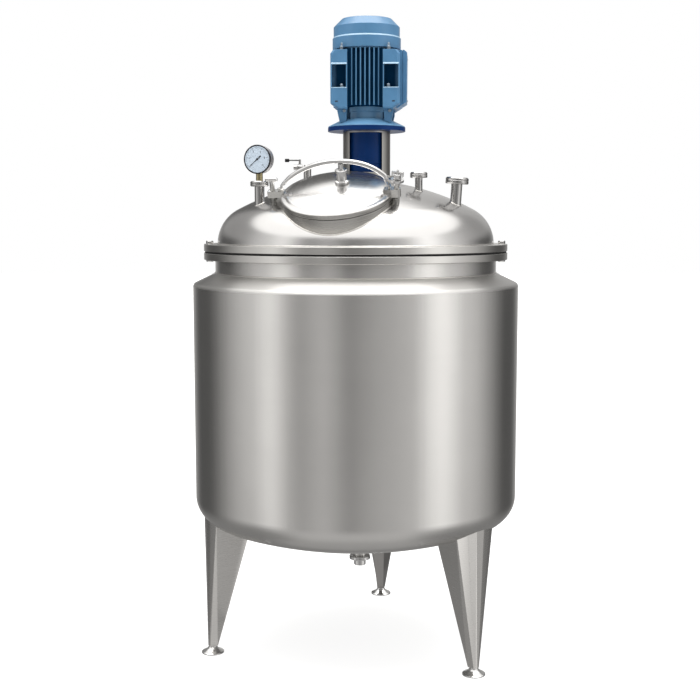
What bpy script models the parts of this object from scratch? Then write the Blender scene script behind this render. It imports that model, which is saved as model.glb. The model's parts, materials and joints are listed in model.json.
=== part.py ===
"""Vacuum mixing tank on three legs, in metres, +Z up, origin on the floor under the vessel's axis.

The camera side of the tank is -Y. Pieces that touch keep GAP between them.
"""

import math

import bmesh
import bpy
import numpy as np
from mathutils import Matrix, Vector

GAP = 0.0003

# Jacket and vessel, all turned about the Z axis
JACKET_RADIUS = 0.600
JACKET_SKIN = 0.004
JACKET_SPRING_Z = 0.5771
JACKET_CROWN = 1.5223
JACKET_KNUCKLE = 0.0938
SHOULDER_LOW_Z = 1.3275
SHOULDER_EDGE_Z = 1.3556
SHOULDER_BEND = 0.0153
SHOULDER_SLOPE = math.radians(25.5)
SHOULDER_TOP_Z = 1.4042
VESSEL_RADIUS = 0.518
VESSEL_WALL = 0.006
VESSEL_BOTTOM_Z = 0.4325
VESSEL_CROWN = 1.30
VESSEL_KNUCKLE = 0.090

# The bolted joint under the dome
FLANGE_RADIUS = 0.5586
FLANGE_THICK = 0.0247
PARTING_Z = 1.4815
GASKET_THICK = 0.0060

# Dome
DOME_RADIUS = 0.5087
DOME_WALL = 0.006
DOME_CROWN = 0.9226
DOME_KNUCKLE = 0.1419

# Legs and feet
FEET = {"left": (0.5527, 196.3), "right": (0.5608, 318.1), "back": (0.5587, 78.8)}
LEG_FOOT_Z = 0.026
LEG_TOP_Z = 0.612
FOOT_RADIUS = 0.041

# Bottom outlet
OUTLET_X = 0.016
OUTLET_RADIUS = 0.025
OUTLET_END_Z = 0.3268
OUTLET_LOW_Z = 0.2891

# Manway: centre of the lid's rim plane, lean towards the front, turn to the left
MANWAY_CENTRE = Vector((-0.0651, -0.3542, 1.6920))
MANWAY_LEAN = math.radians(24.1)
MANWAY_TURN = math.radians(12.1)
LID_RADIUS = 0.1915
LID_SKIRT = 0.018
LID_CROWN_HEIGHT = 0.035
LID_CROWN_EDGE = 0.170
LID_PLATE = 0.005
NECK_RADIUS = 0.1890
NECK_WALL = 0.0075
NECK_LOW = -0.085
PIVOT_X = -0.2247
PIVOT_PIN = 0.0065
PIN_LOW = -0.040
CLAMP_X = 0.2067
CLAMP_LEAN = math.radians(7.6)
ARCH_X = 0.019
ARCH_BASE = -0.050
ARCH_TOP = 0.1108
ARCH_ROD = 0.0082
LUG_TOP = 0.0065
LUG_LOW = -0.0160
SEAT = -LID_SKIRT
ARCH_NUT = 0.0150
ARCH_NUT_X = -0.1975
CLAMP_PLATE_TOP = 0.0465

# Agitator drive, on an axis of its own beside the vessel's
DRIVE_X = 0.041
DRIVE_Y = 0.080
PAD_RADIUS = 0.112
DRIVE_TURN = math.radians(-3.5)
PAD_TOP_Z = 1.7605
LANTERN_RADIUS = 0.0885
LANTERN_WALL = 0.0065
LANTERN_TOP_Z = 1.9236
MOTOR_FLANGE_RADIUS = 0.1445
MOTOR_RIM_TOP_Z = 1.9434
MOTOR_NECK_Z = 1.9680
MOTOR_BODY_Z = 2.0130
MOTOR_BODY_TOP_Z = 2.2180
FAN_COVER_Z = 2.2215
FAN_COVER_TOP_Z = 2.3335
FRAME_ROOT = 0.098
FRAME_SIDE = 0.066
BLOCK_FRONT = 0.125
BLOCK_SIDE = 0.1265
BLOCK_LOW_Z = 2.0000
POCKET_LOW_Z = 2.0757
POCKET_TOP_Z = 2.1610
POCKET_DEEP = 0.072
FIN_PITCH = 0.0163
FIN_THICK = 0.0048
FIN_REACH = 0.124

# Fittings on the dome
GAUGE_AT = (-0.339, -0.2005)
GAUGE_Z = 1.8084
GAUGE_TURN = math.radians(19)
VALVE_AT = (-0.178, 0.004)
VALVE_STEM_X = -0.2058
VALVE_Z = 1.7890
SMALL_NOZZLE_AT = (0.2244, -0.158)
LARGE_NOZZLE_AT = (0.355, -0.168)
LARGE_NOZZLE_LEAN = math.radians(3.5)

# Turns a flat outline in X and Y so that its Y stands up
UPRIGHT = Matrix.Rotation(math.pi / 2, 4, "X")

# Facets on round pieces
WIDE = 48
MIDDLE = 32
SMALL = 20


def clear_scene():
    for item in list(bpy.data.objects):
        bpy.data.objects.remove(item, do_unlink=True)


def material(name, colour, roughness, metallic):
    finish = bpy.data.materials.get(name) or bpy.data.materials.new(name)
    finish.use_nodes = True
    shader = finish.node_tree.nodes["Principled BSDF"]
    shader.inputs["Base Color"].default_value = (*colour, 1.0)
    shader.inputs["Roughness"].default_value = roughness
    shader.inputs["Metallic"].default_value = metallic
    return finish


def brushed():
    return material("brushed_stainless", (0.62, 0.61, 0.59), 0.28, 1.0)


def polished():
    return material("polished_stainless", (0.78, 0.78, 0.77), 0.12, 1.0)


def light_blue():
    return material("motor_blue", (0.12, 0.25, 0.42), 0.35, 0.0)


def deep_blue():
    return material("drive_blue", (0.01, 0.05, 0.16), 0.35, 0.0)


def black_rubber():
    return material("black_rubber", (0.02, 0.02, 0.02), 0.7, 0.0)


def brass():
    return material("brass", (0.55, 0.42, 0.20), 0.3, 1.0)


def white_dial():
    return material("dial", (0.75, 0.80, 0.85), 0.4, 0.0)


def add_object(name, bm, finish, place=None, smooth=True):
    bmesh.ops.recalc_face_normals(bm, faces=bm.faces)
    mesh = bpy.data.meshes.new(name)
    bm.to_mesh(mesh)
    bm.free()
    if smooth:
        mesh.shade_smooth()
        mesh.set_sharp_from_angle(angle=math.radians(35))
    item = bpy.data.objects.new(name, mesh)
    bpy.context.scene.collection.objects.link(item)
    if finish:
        mesh.materials.append(finish)
    if place is not None:
        item.matrix_world = place
    return item


def lathe(name, outline, finish, steps, place=None):
    """A closed outline of (radius, height) points turned once round Z."""
    bm = bmesh.new()
    points = [bm.verts.new((r, 0.0, z)) for r, z in outline]
    edges = []
    for i, point in enumerate(points):
        follower = points[(i + 1) % len(points)]
        if max(point.co.x, follower.co.x) > 1e-9:
            edges.append(bm.edges.new((point, follower)))
    bmesh.ops.spin(
        bm, geom=points + edges, axis=(0, 0, 1), cent=(0, 0, 0), steps=steps, angle=math.tau
    )
    bmesh.ops.remove_doubles(bm, verts=bm.verts, dist=1e-5)
    return add_object(name, bm, finish, place)


def ring(name, inner, outer, low, high, finish, steps, place=None):
    outline = [(inner, low), (outer, low), (outer, high), (inner, high)]
    return lathe(name, outline, finish, steps, place)


def rod(name, radius, low, high, finish, steps, place=None, edge=0.0):
    """A solid cylinder, with both its rims broken by edge."""
    outline = [(0, low), (radius - edge, low), (radius, low + edge)]
    outline += [(radius, high - edge), (radius - edge, high), (0, high)]
    if edge == 0.0:
        outline = [(0, low), (radius, low), (radius, high), (0, high)]
    return lathe(name, outline, finish, steps, place)


def prism(name, outline, low, high, finish, place=None):
    """A flat outline of (x, y) points drawn up from low to high."""
    bm = bmesh.new()
    base = bm.faces.new([bm.verts.new((x, y, low)) for x, y in outline])
    grown = bmesh.ops.extrude_face_region(bm, geom=[base])
    risen = [v for v in grown["geom"] if isinstance(v, bmesh.types.BMVert)]
    bmesh.ops.translate(bm, verts=risen, vec=(0, 0, high - low))
    return add_object(name, bm, finish, place)


def box(name, low, high, finish, place=None):
    outline = [(low[0], low[1]), (high[0], low[1]), (high[0], high[1]), (low[0], high[1])]
    return prism(name, outline, low[2], high[2], finish, place)


def hull(name, points, finish, place=None):
    """The convex solid round a set of points."""
    bm = bmesh.new()
    for point in points:
        bm.verts.new(point)
    bmesh.ops.convex_hull(bm, input=bm.verts)
    bmesh.ops.dissolve_limit(bm, angle_limit=0.001, verts=bm.verts, edges=bm.edges)
    return add_object(name, bm, finish, place)


def circle_points(x, y, radius, height, steps=SMALL):
    turns = [math.tau * k / steps for k in range(steps)]
    return [(x + radius * math.cos(a), y + radius * math.sin(a), height) for a in turns]


def empty(name, place):
    """A bare point on a joint's axis that carries the pieces moving about it."""
    point = bpy.data.objects.new(name, None)
    bpy.context.scene.collection.objects.link(point)
    point.matrix_world = place
    return point


def hang(items, carrier):
    bpy.context.view_layer.update()
    for item in items:
        item.parent = carrier
        item.matrix_parent_inverse = carrier.matrix_world.inverted()


def boolean(item, other, operation):
    step = item.modifiers.new(operation.lower(), "BOOLEAN")
    step.operation = operation
    step.solver = "EXACT"
    step.object = other
    other.hide_render = True
    other.display_type = "WIRE"
    return item


def cut(item, other):
    return boolean(item, other, "DIFFERENCE")


def fuse(item, other):
    return boolean(item, other, "UNION")


def at(x, y, z=0.0):
    return Matrix.Translation((x, y, z))


def dished(radius, crown, knuckle, knuckle_steps=4, crown_steps=4):
    """(radius, rise) points of a dished end, from its rim up to its middle."""
    knuckle_x = radius - knuckle
    drop = math.sqrt((crown - knuckle) ** 2 - knuckle_x**2)
    meet = math.atan2(knuckle_x, drop)
    points = []
    for k in range(knuckle_steps):
        angle = math.pi / 2 + (meet - math.pi / 2) * k / knuckle_steps
        points.append((knuckle_x + knuckle * math.sin(angle), knuckle * math.cos(angle)))
    for k in range(crown_steps + 1):
        angle = meet * (1 - k / crown_steps)
        points.append((crown * math.sin(angle), crown * math.cos(angle) - drop))
    return points


def dished_shell(radius, crown, knuckle, wall):
    """Closed outline of a dished end of one wall thickness, rising from height 0."""
    outer = dished(radius, crown, knuckle)
    inner = dished(radius - wall, crown - wall, knuckle - wall)
    return outer + inner[::-1]


def dome_base_z():
    return PARTING_Z + GASKET_THICK / 2 + FLANGE_THICK + 2 * GAP


def solid_dome(name, grow):
    """The dome as a filled solid, grown outward, for trimming what stands on it."""
    rise = dished(DOME_RADIUS + grow, DOME_CROWN + grow, DOME_KNUCKLE + grow)
    base = dome_base_z()
    outline = [(0, base - 0.3), (DOME_RADIUS + grow, base - 0.3)]
    outline += [(r, base + z) for r, z in rise]
    return lathe(name, outline, None, WIDE)


def stand_on_dome(item):
    return cut(item, solid_dome(item.name + "_trim", GAP))


def manway_frame():
    """Local X runs to the right, Y uphill to the back, Z out along the lid's axis."""
    out = Vector((-math.sin(MANWAY_TURN), -math.cos(MANWAY_TURN), 0))
    normal = math.cos(MANWAY_LEAN) * Vector((0, 0, 1)) + math.sin(MANWAY_LEAN) * out
    across = Vector((math.cos(MANWAY_TURN), -math.sin(MANWAY_TURN), 0))
    uphill = normal.cross(across)
    turn = Matrix((across, uphill, normal)).transposed().to_4x4()
    return Matrix.Translation(MANWAY_CENTRE) @ turn


def build_jacket():
    skin = JACKET_SKIN
    wall_low = JACKET_SPRING_Z + GAP
    ring(
        "jacket_wall", JACKET_RADIUS - skin, JACKET_RADIUS, wall_low, SHOULDER_LOW_Z - GAP,
        brushed(), WIDE,
    )
    neck = VESSEL_RADIUS + GAP
    top, edge = SHOULDER_TOP_Z, SHOULDER_EDGE_Z
    bend = SHOULDER_BEND
    outer = [(JACKET_RADIUS, SHOULDER_LOW_Z)]
    for k in range(4):
        turn = (math.pi / 2 - SHOULDER_SLOPE) * k / 3
        outer.append((JACKET_RADIUS - bend * (1 - math.cos(turn)), edge + bend * math.sin(turn)))
    outer += [(neck, top), (neck, top - 0.010)]
    inner = [(JACKET_RADIUS - 0.0115, edge + 0.0085), (JACKET_RADIUS - skin, edge - 0.0015)]
    inner += [(JACKET_RADIUS - skin, SHOULDER_LOW_Z)]
    lathe("jacket_shoulder", outer + inner, brushed(), WIDE)
    shell = dished_shell(JACKET_RADIUS, JACKET_CROWN, JACKET_KNUCKLE, skin)
    outline = [(r, JACKET_SPRING_Z - z) for r, z in shell]
    bottom = lathe("jacket_bottom", outline, brushed(), WIDE)
    cut(bottom, rod("jacket_outlet_cut", OUTLET_RADIUS + GAP, 0.3, 0.6, None, SMALL, at(OUTLET_X, 0)))


def vessel_spring_z():
    return VESSEL_BOTTOM_Z + dished(VESSEL_RADIUS, VESSEL_CROWN, VESSEL_KNUCKLE)[-1][1]


def build_vessel():
    wall = VESSEL_WALL
    top = PARTING_Z - GASKET_THICK / 2 - FLANGE_THICK - GAP
    spring = vessel_spring_z()
    ring(
        "vessel_wall", VESSEL_RADIUS - wall, VESSEL_RADIUS, spring + GAP, top - GAP,
        brushed(), WIDE,
    )
    shell = dished_shell(VESSEL_RADIUS, VESSEL_CROWN, VESSEL_KNUCKLE, wall)
    bottom = lathe("vessel_bottom", [(r, spring - z) for r, z in shell], brushed(), WIDE)
    cut(bottom, rod("vessel_outlet_cut", OUTLET_RADIUS + GAP, 0.3, 0.6, None, SMALL, at(OUTLET_X, 0)))
    ring(
        "vessel_flange", VESSEL_RADIUS - wall, FLANGE_RADIUS, top, top + FLANGE_THICK,
        brushed(), WIDE,
    )


def build_dome():
    half = GASKET_THICK / 2
    ring(
        "flange_gasket", DOME_RADIUS + 0.004, FLANGE_RADIUS - 0.0012,
        PARTING_Z - half, PARTING_Z + half, black_rubber(), WIDE,
    )
    low = PARTING_Z + half + GAP
    ring(
        "dome_flange", DOME_RADIUS - DOME_WALL, FLANGE_RADIUS, low, low + FLANGE_THICK,
        brushed(), WIDE,
    )
    base = dome_base_z()
    shell = dished_shell(DOME_RADIUS, DOME_CROWN, DOME_KNUCKLE, DOME_WALL)
    head = lathe("dome_head", [(r, base + z) for r, z in shell], brushed(), WIDE)
    cut(head, rod("manway_cut", NECK_RADIUS + GAP, -0.25, 0.08, None, WIDE, manway_frame()))
    cut(head, rod("shaft_cut", 0.035, 1.60, 1.85, None, SMALL, at(DRIVE_X, DRIVE_Y)))


def leg_section(circle, height):
    """Corner points of a leg's section: a wide rounded outer face, a narrow inner one."""
    rise = height - LEG_FOOT_Z
    outer_half = 0.0155 + 0.182 * rise
    inner_half = 0.0130 + 0.062 * rise
    outer = circle + 0.011 - 0.025 * rise
    depth = 0.028 + 0.250 * rise
    bulge = 0.006 + 0.036 * rise
    face = [-1.0, -0.6, -0.2, 0.2, 0.6, 1.0]
    points = [(outer + bulge * (1 - t * t), outer_half * t) for t in face]
    points += [(outer - depth, inner_half), (outer - depth, -inner_half)]
    return [Vector((x, y, height)) for x, y in points]


def build_leg(name, circle, azimuth):
    bm = bmesh.new()
    low = [bm.verts.new(p) for p in leg_section(circle, LEG_FOOT_Z)]
    high = [bm.verts.new(p) for p in leg_section(circle, LEG_TOP_Z)]
    count = len(low)
    for k in range(count):
        n = (k + 1) % count
        bm.faces.new((low[k], low[n], high[n], high[k]))
    bm.faces.new(low[::-1])
    bm.faces.new(high)
    place = Matrix.Rotation(math.radians(azimuth), 4, "Z")
    leg = add_object("leg_" + name, bm, brushed(), place)
    rise = dished(JACKET_RADIUS + GAP, JACKET_CROWN + GAP, JACKET_KNUCKLE + GAP)
    outline = [(r, JACKET_SPRING_Z - z) for r, z in rise]
    outline += [(0, 0.8), (JACKET_RADIUS + GAP, 0.8)]
    cut(leg, lathe("leg_" + name + "_trim", outline, None, WIDE))
    foot_at = place @ Matrix.Translation((circle, 0, 0))
    outline = [(0, 0), (FOOT_RADIUS - 0.0015, 0), (FOOT_RADIUS, 0.0015), (FOOT_RADIUS, 0.0045)]
    outline += [(0.0385, 0.0065), (0.0290, 0.0100), (0.0200, 0.0165), (0.0165, 0.0215)]
    outline += [(0.0150, 0.0225), (0.0150, LEG_FOOT_Z - GAP), (0, LEG_FOOT_Z - GAP)]
    lathe("foot_" + name, outline, polished(), SMALL, foot_at)


def build_outlet():
    top = vessel_spring_z() - dished(VESSEL_RADIUS, VESSEL_CROWN, VESSEL_KNUCKLE)[-1][1]
    place = at(OUTLET_X, 0)
    end = OUTLET_END_Z
    ring(
        "outlet_pipe", OUTLET_RADIUS - 0.003, OUTLET_RADIUS, end, top + VESSEL_WALL,
        brushed(), SMALL, place,
    )
    rod("outlet_clamp", 0.040, end - 0.015, end - GAP, polished(), MIDDLE, place, 0.004)
    cap_top = end - 0.015 - GAP
    rod("outlet_cap", 0.0223, OUTLET_LOW_Z, cap_top, polished(), SMALL, place, 0.002)


def lid_outline(grow=0.0):
    """Outer outline of the lid from its middle to the foot of its skirt."""
    radius = (LID_CROWN_EDGE**2 + 0.029**2) / (2 * 0.029)
    top = LID_CROWN_HEIGHT + grow
    points = []
    for k in range(5):
        r = LID_CROWN_EDGE * k / 4
        points.append((r, top - radius + math.sqrt(radius**2 - r * r)))
    points += [(0.1760, 0.0012 + grow), (LID_RADIUS - 0.0035, grow)]
    points += [(LID_RADIUS + grow, -0.0035), (LID_RADIUS + grow, SEAT - grow)]
    return points


def lid_trim(name, place):
    outline = lid_outline(GAP)
    return lathe(name, outline + [(0, -LID_SKIRT - GAP)], None, WIDE, place)


def clamp_frame(place):
    """The clamp's axis leans outward from the lid's."""
    return place @ at(CLAMP_X, 0) @ Matrix.Rotation(CLAMP_LEAN, 4, "Y")


def barrel_on_neck(name, radius, high, place, axis, reach):
    """A short barrel beside the neck, with a web that carries it, cut back to the neck and dome."""
    barrel = rod(name, radius, -0.0465, high, polished(), SMALL, axis, 0.0015)
    low, top = (min(reach), -0.0060, -0.0440), (max(reach), 0.0060, -0.0250)
    fuse(barrel, box(name + "_web", low, top, None, place))
    cut(barrel, rod(name + "_trim", NECK_RADIUS + GAP, -0.1, 0.0, None, WIDE, place))
    return stand_on_dome(barrel)


def build_manway_neck(place):
    top = SEAT - GAP - 0.003
    ring(
        "manway_neck", NECK_RADIUS - NECK_WALL, NECK_RADIUS, NECK_LOW, top - GAP,
        brushed(), WIDE, place,
    )
    ring(
        "manway_gasket", NECK_RADIUS - 0.0072, NECK_RADIUS - 0.0012, top, top + 0.003,
        black_rubber(), WIDE, place,
    )
    axis = place @ at(PIVOT_X, 0)
    reach = (PIVOT_X, 0.004 - NECK_RADIUS)
    barrel = barrel_on_neck("pivot_barrel", 0.0122, SEAT - GAP, place, axis, reach)
    cut(barrel, rod("pivot_socket", PIVOT_PIN + GAP, PIN_LOW - GAP, 0.0, None, SMALL, axis))
    reach = (CLAMP_X, NECK_RADIUS - 0.004)
    barrel_on_neck("clamp_barrel", 0.0128, SEAT - 0.0025, place, clamp_frame(place), reach)


def build_lid(place):
    outer = lid_outline()
    inner = [(LID_RADIUS - 0.015, SEAT), (LID_RADIUS - 0.015, -0.008)]
    inner += [(r, z - LID_PLATE) for r, z in outer[4::-1]]
    lid = lathe("manway_lid", outer + inner, brushed(), WIDE, place)
    boss_at = place @ at(ARCH_X + 0.004, 0)
    under_arch = ARCH_TOP - ARCH_ROD - 2 * GAP
    outline = [(0, 0.020), (0.0185, 0.020), (0.0185, 0.0375), (0.0252, 0.0375), (0.0252, 0.0425)]
    outline += [(0.0175, 0.0445), (0.0175, 0.0715), (0.0212, 0.0735), (0.0212, 0.0800)]
    outline += [(0.0190, 0.0820), (0.0086, 0.0822), (0.0086, under_arch), (0, under_arch)]
    boss = lathe("lid_boss", outline, polished(), SMALL, boss_at)
    cut(boss, lid_trim("boss_trim", place))
    return [lid, boss]


def arch_points(low_left, low_right):
    """Middle line of the lifting bar, from its nut on the pivot lug to the clamp plate."""
    height = ARCH_TOP - ARCH_BASE
    points = []
    for k in range(41):
        turn = math.pi * (1 - k / 40)
        left = turn > math.pi / 2
        reach, power = (0.2397, 1.88) if left else (0.1935, 2.19)
        x = math.copysign(reach * abs(math.cos(turn)) ** (2 / power), math.cos(turn))
        z = ARCH_BASE + height * math.sin(turn) ** (2 / power)
        if z > (low_left if left else low_right) + 0.006:
            points.append((ARCH_X + x, z))
    first, last = points[0][0] - 0.001, points[-1][0] + 0.002
    points = [(first, low_left), (first, low_left + 0.003)] + points[::2]
    return points + [(last, low_right + 0.003), (last, low_right)]


def build_arch(place):
    points = arch_points(ARCH_NUT + GAP, CLAMP_PLATE_TOP + GAP)
    curve = bpy.data.curves.new("lifting_arch", "CURVE")
    curve.dimensions = "3D"
    curve.bevel_depth = ARCH_ROD
    curve.bevel_resolution = 2
    curve.use_fill_caps = True
    spline = curve.splines.new("POLY")
    spline.points.add(len(points) - 1)
    for slot, (x, z) in zip(spline.points, points):
        slot.co = (x, 0, z, 1)
        slot.radius = 0.6 + 0.4 * min(1.0, max(0.0, (z - ARCH_NUT) / 0.040)) if x < 0 else 1.0
    arch = bpy.data.objects.new("lifting_arch", curve)
    curve.materials.append(polished())
    bpy.context.scene.collection.objects.link(arch)
    arch.matrix_world = place
    return arch


def build_pivot(place):
    """The lug that swings on its pin with the arch's nut on it, the pin, and its tee handle."""
    axis = place @ at(PIVOT_X, 0)
    low = (PIVOT_X - 0.0165, -0.0130, LUG_LOW)
    lug = box("pivot_lug", low, (-0.1830, 0.0130, LUG_TOP), polished(), place)
    cut(lug, lid_trim("pivot_lug_trim", place))
    fuse(lug, rod("pivot_sleeve", 0.0082, LUG_TOP - 0.002, 0.0300, None, SMALL, axis))
    fuse(lug, rod("pivot_foot", 0.0112, SEAT, LUG_LOW + 0.001, None, SMALL, axis))
    nut = place @ at(ARCH_NUT_X, 0)
    fuse(lug, rod("arch_nut", 0.0098, LUG_TOP - 0.001, ARCH_NUT, None, 6, nut))
    cut(lug, rod("pivot_bore", PIVOT_PIN + GAP, -0.05, 0.05, None, SMALL, axis))
    pin = rod("pivot_pin", PIVOT_PIN, PIN_LOW, 0.0300, polished(), SMALL, axis)
    knob = rod("pivot_knob", 0.0080, 0.0300 + GAP, 0.0440, polished(), SMALL, axis)
    across = axis @ at(0, 0, 0.0465) @ Matrix.Rotation(math.pi / 2, 4, "Y")
    fuse(knob, rod("tee_bar", 0.0074, -0.0212, 0.0212, None, SMALL, across, 0.0030))
    return lug, pin, knob


def build_clamp(place):
    """The lug over the clamp barrel with its sleeve, and the plate that the arch stands on."""
    axis = clamp_frame(place)
    points = circle_points(CLAMP_X, 0, 0.0152, LUG_LOW) + circle_points(CLAMP_X, 0, 0.0152, 0.0125)
    points += [(0.1645, y, z) for y in (-0.0150, 0.0150) for z in (LUG_LOW, 0.0125)]
    lug = hull("clamp_lug", points, polished(), place)
    cut(lug, lid_trim("clamp_lug_trim", place))
    sleeve_top = CLAMP_PLATE_TOP - 0.0090
    fuse(lug, rod("clamp_sleeve", 0.0090, 0.0100, sleeve_top, None, SMALL, axis))
    low = sleeve_top + GAP
    points = circle_points(0, 0, 0.0228, low) + circle_points(0, 0, 0.0228, low + 0.0084)
    plate = hull("clamp_plate", points, polished(), axis)
    ear = hull("clamp_ear", ear_points(axis.inverted() @ place, low), None, axis)
    fuse(plate, ear)
    return [lug, plate]


def ear_points(to_axis, low):
    """A short ear on the clamp plate, level with the lid, that the arch lands on."""
    spots = circle_points(0.1790, 0, 0.0110, CLAMP_PLATE_TOP - 0.0068)
    spots += circle_points(0.1790, 0, 0.0110, CLAMP_PLATE_TOP)
    spots += circle_points(0.2000, 0, 0.0110, CLAMP_PLATE_TOP - 0.0068)
    spots += circle_points(0.2000, 0, 0.0110, CLAMP_PLATE_TOP)
    return [to_axis @ Vector(spot) for spot in spots]


def build_wing_screw(axis):
    low = CLAMP_PLATE_TOP + 2 * GAP
    outline = [(0, low), (0.0125, low), (0.0135, low + 0.0015), (0.0135, low + 0.0165)]
    outline += [(0.0115, low + 0.0185), (0.0036, low + 0.0185), (0.0036, 0.0790), (0, 0.0790)]
    screw = lathe("wing_screw", outline, polished(), SMALL, axis)
    half = [(0.0, 0.0640), (0.0156, 0.0640), (0.0156, 0.0560), (0.0172, 0.0540), (0.0190, 0.0540)]
    half += [(0.0205, 0.0565), (0.0205, 0.0705), (0.0185, 0.0720), (0.0, 0.0720)]
    left = [(-x, z) for x, z in half[-2:0:-1]]
    wings = prism("wings", half + left, -0.0028, 0.0028, None, axis @ UPRIGHT)
    return fuse(screw, wings)


def build_manway():
    place = manway_frame()
    build_manway_neck(place)
    lug, pin, knob = build_pivot(place)
    moving = build_lid(place) + [build_arch(place), lug] + build_clamp(place)
    rise = empty("lid_rise", place @ at(PIVOT_X, 0))
    swing = empty("lid_swing", place @ at(PIVOT_X, 0))
    turn = empty("wing_screw_turn", clamp_frame(place))
    hang([build_wing_screw(clamp_frame(place))], turn)
    hang(moving + [turn], swing)
    hang([pin, knob, swing], rise)


def build_gauge():
    x, y = GAUGE_AT
    place = at(x, y)
    nozzle = ring("gauge_nozzle", 0.0130, 0.0174, 1.61, 1.7140, brushed(), SMALL, place)
    stand_on_dome(nozzle)
    rod("gauge_clamp", 0.0324, 1.7140 + GAP, 1.7330, polished(), MIDDLE, place, 0.0035)
    stem = rod("gauge_stem", 0.0120, 1.7330 + GAP, GAUGE_Z - 0.02, brass(), SMALL, place)
    turned = at(x, y, GAUGE_Z) @ Matrix.Rotation(-GAUGE_TURN, 4, "Z") @ Matrix.Rotation(math.pi / 2, 4, "X")
    outline = [(0, -0.021), (0.0465, -0.021), (0.0480, -0.018), (0.0480, 0.013), (0.0508, 0.015)]
    outline += [(0.0508, 0.021), (0.0470, 0.021), (0.0470, 0.0165), (0, 0.0165)]
    lathe("gauge_case", outline, polished(), MIDDLE, turned)
    cut(stem, rod("gauge_stem_trim", 0.0480 + GAP, -0.03, 0.03, None, MIDDLE, turned))
    rod("gauge_dial", 0.0467, 0.0165 + GAP, 0.0185, white_dial(), MIDDLE, turned)


def build_valve():
    x, y = VALVE_AT
    nozzle = rod("valve_nozzle", 0.0140, 1.69, 1.7985, brushed(), SMALL, at(x, y), 0.003)
    stand_on_dome(nozzle)
    lying = at(VALVE_STEM_X, y, VALVE_Z) @ Matrix.Rotation(-math.pi / 2, 4, "Y")
    near = VALVE_STEM_X - x + 0.0140 + GAP
    outline = [(0, near), (0.0080, near), (0.0080, -0.010), (0.0115, -0.008), (0.0115, 0.008)]
    outline += [(0.0095, 0.010), (0.0095, 0.023), (0.0062, 0.023), (0.0062, 0.014), (0, 0.014)]
    body = lathe("valve_body", outline, polished(), SMALL, lying)
    collar = rod("valve_collar", 0.0062, -0.002, 0.0135, None, SMALL, at(VALVE_STEM_X, y, VALVE_Z))
    fuse(body, collar)
    foot = VALVE_Z + 0.0135 + GAP
    stem_at = at(VALVE_STEM_X, y)
    lever = rod("valve_lever", 0.0040, foot, foot + 0.0155, polished(), SMALL, stem_at)
    bar = box("lever_bar", (-0.044, -0.0035, foot + 0.010), (0.0, 0.0035, foot + 0.0145), None, stem_at)
    fuse(lever, bar)
    grip = at(VALVE_STEM_X - 0.047, y, foot + 0.012) @ Matrix.Rotation(math.pi / 2, 4, "Y")
    fuse(lever, rod("lever_grip", 0.0058, -0.0075, 0.0075, None, SMALL, grip, 0.002))


def build_nozzles():
    x, y = SMALL_NOZZLE_AT
    small = ring("small_nozzle", 0.0103, 0.0133, 1.65, 1.7460, brushed(), SMALL, at(x, y))
    stand_on_dome(small)
    rod("small_nozzle_cap", 0.0308, 1.7460 + GAP, 1.7660, polished(), MIDDLE, at(x, y), 0.004)
    x, y = LARGE_NOZZLE_AT
    leaning = at(x, y, 1.6525) @ Matrix.Rotation(LARGE_NOZZLE_LEAN, 4, "Y")
    large = ring("large_nozzle", 0.0165, 0.0197, -0.05, 0.0715, brushed(), SMALL, leaning)
    stand_on_dome(large)
    outline = [(0, 0.0715 + GAP), (0.037, 0.0715 + GAP), (0.041, 0.076), (0.041, 0.091)]
    outline += [(0.037, 0.095), (0.008, 0.0955), (0.006, 0.0985), (0, 0.0985)]
    lathe("large_nozzle_cap", outline, polished(), MIDDLE, leaning)


def drive_frame():
    return at(DRIVE_X, DRIVE_Y) @ Matrix.Rotation(DRIVE_TURN, 4, "Z")


def build_lantern():
    place = drive_frame()
    pad = ring("drive_pad", 0.036, PAD_RADIUS, 1.69, PAD_TOP_Z - GAP, brushed(), MIDDLE, place)
    stand_on_dome(pad)
    low, top = PAD_TOP_Z, LANTERN_TOP_Z
    outer, wall = LANTERN_RADIUS, LANTERN_WALL
    lantern = ring("lantern", outer - wall, outer, low, top, brushed(), MIDDLE, place)
    half = 0.0600
    window = box(
        "lantern_window", (-half, -0.2, low + 0.012), (half, 0.2, top - 0.006), None, place
    )
    cut(lantern, window)
    core = outer - wall - 0.007
    rod("coupling_housing", core, low + 0.0005, top - GAP, deep_blue(), MIDDLE, place, 0.002)


def build_shaft():
    place = drive_frame()
    rod("agitator_shaft", 0.020, 0.55, PAD_TOP_Z + 0.0002, polished(), SMALL, place)
    blades = box("paddle", (-0.190, -0.004, 0.612), (0.190, 0.004, 0.692), brushed(), place)
    hub = rod("paddle_hub", 0.032, 0.602, 0.702, None, SMALL, place)
    fuse(blades, hub)
    cut(blades, rod("paddle_bore", 0.020 + GAP, 0.5, 0.8, None, SMALL, place))


def frame_side(quarter, finned):
    """One side of the motor frame's outline, counter-clockwise: a comb of fins, then a corner."""
    points = []
    for k in range(3, -4, -1) if finned else ():
        right, left = k * FIN_PITCH + FIN_THICK / 2, k * FIN_PITCH - FIN_THICK / 2
        tips = [math.sqrt(FIN_REACH**2 - x * x) for x in (right, left)]
        points += [(right, FRAME_ROOT), (right, tips[0]), (left, tips[1]), (left, FRAME_ROOT)]
    corner = [(-FRAME_SIDE, FRAME_ROOT), (-0.088, 0.088), (-FRAME_ROOT, FRAME_SIDE)]
    turn = Matrix.Rotation(math.radians(quarter), 2)
    return [tuple(turn @ Vector(p)) for p in points + corner]


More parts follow.
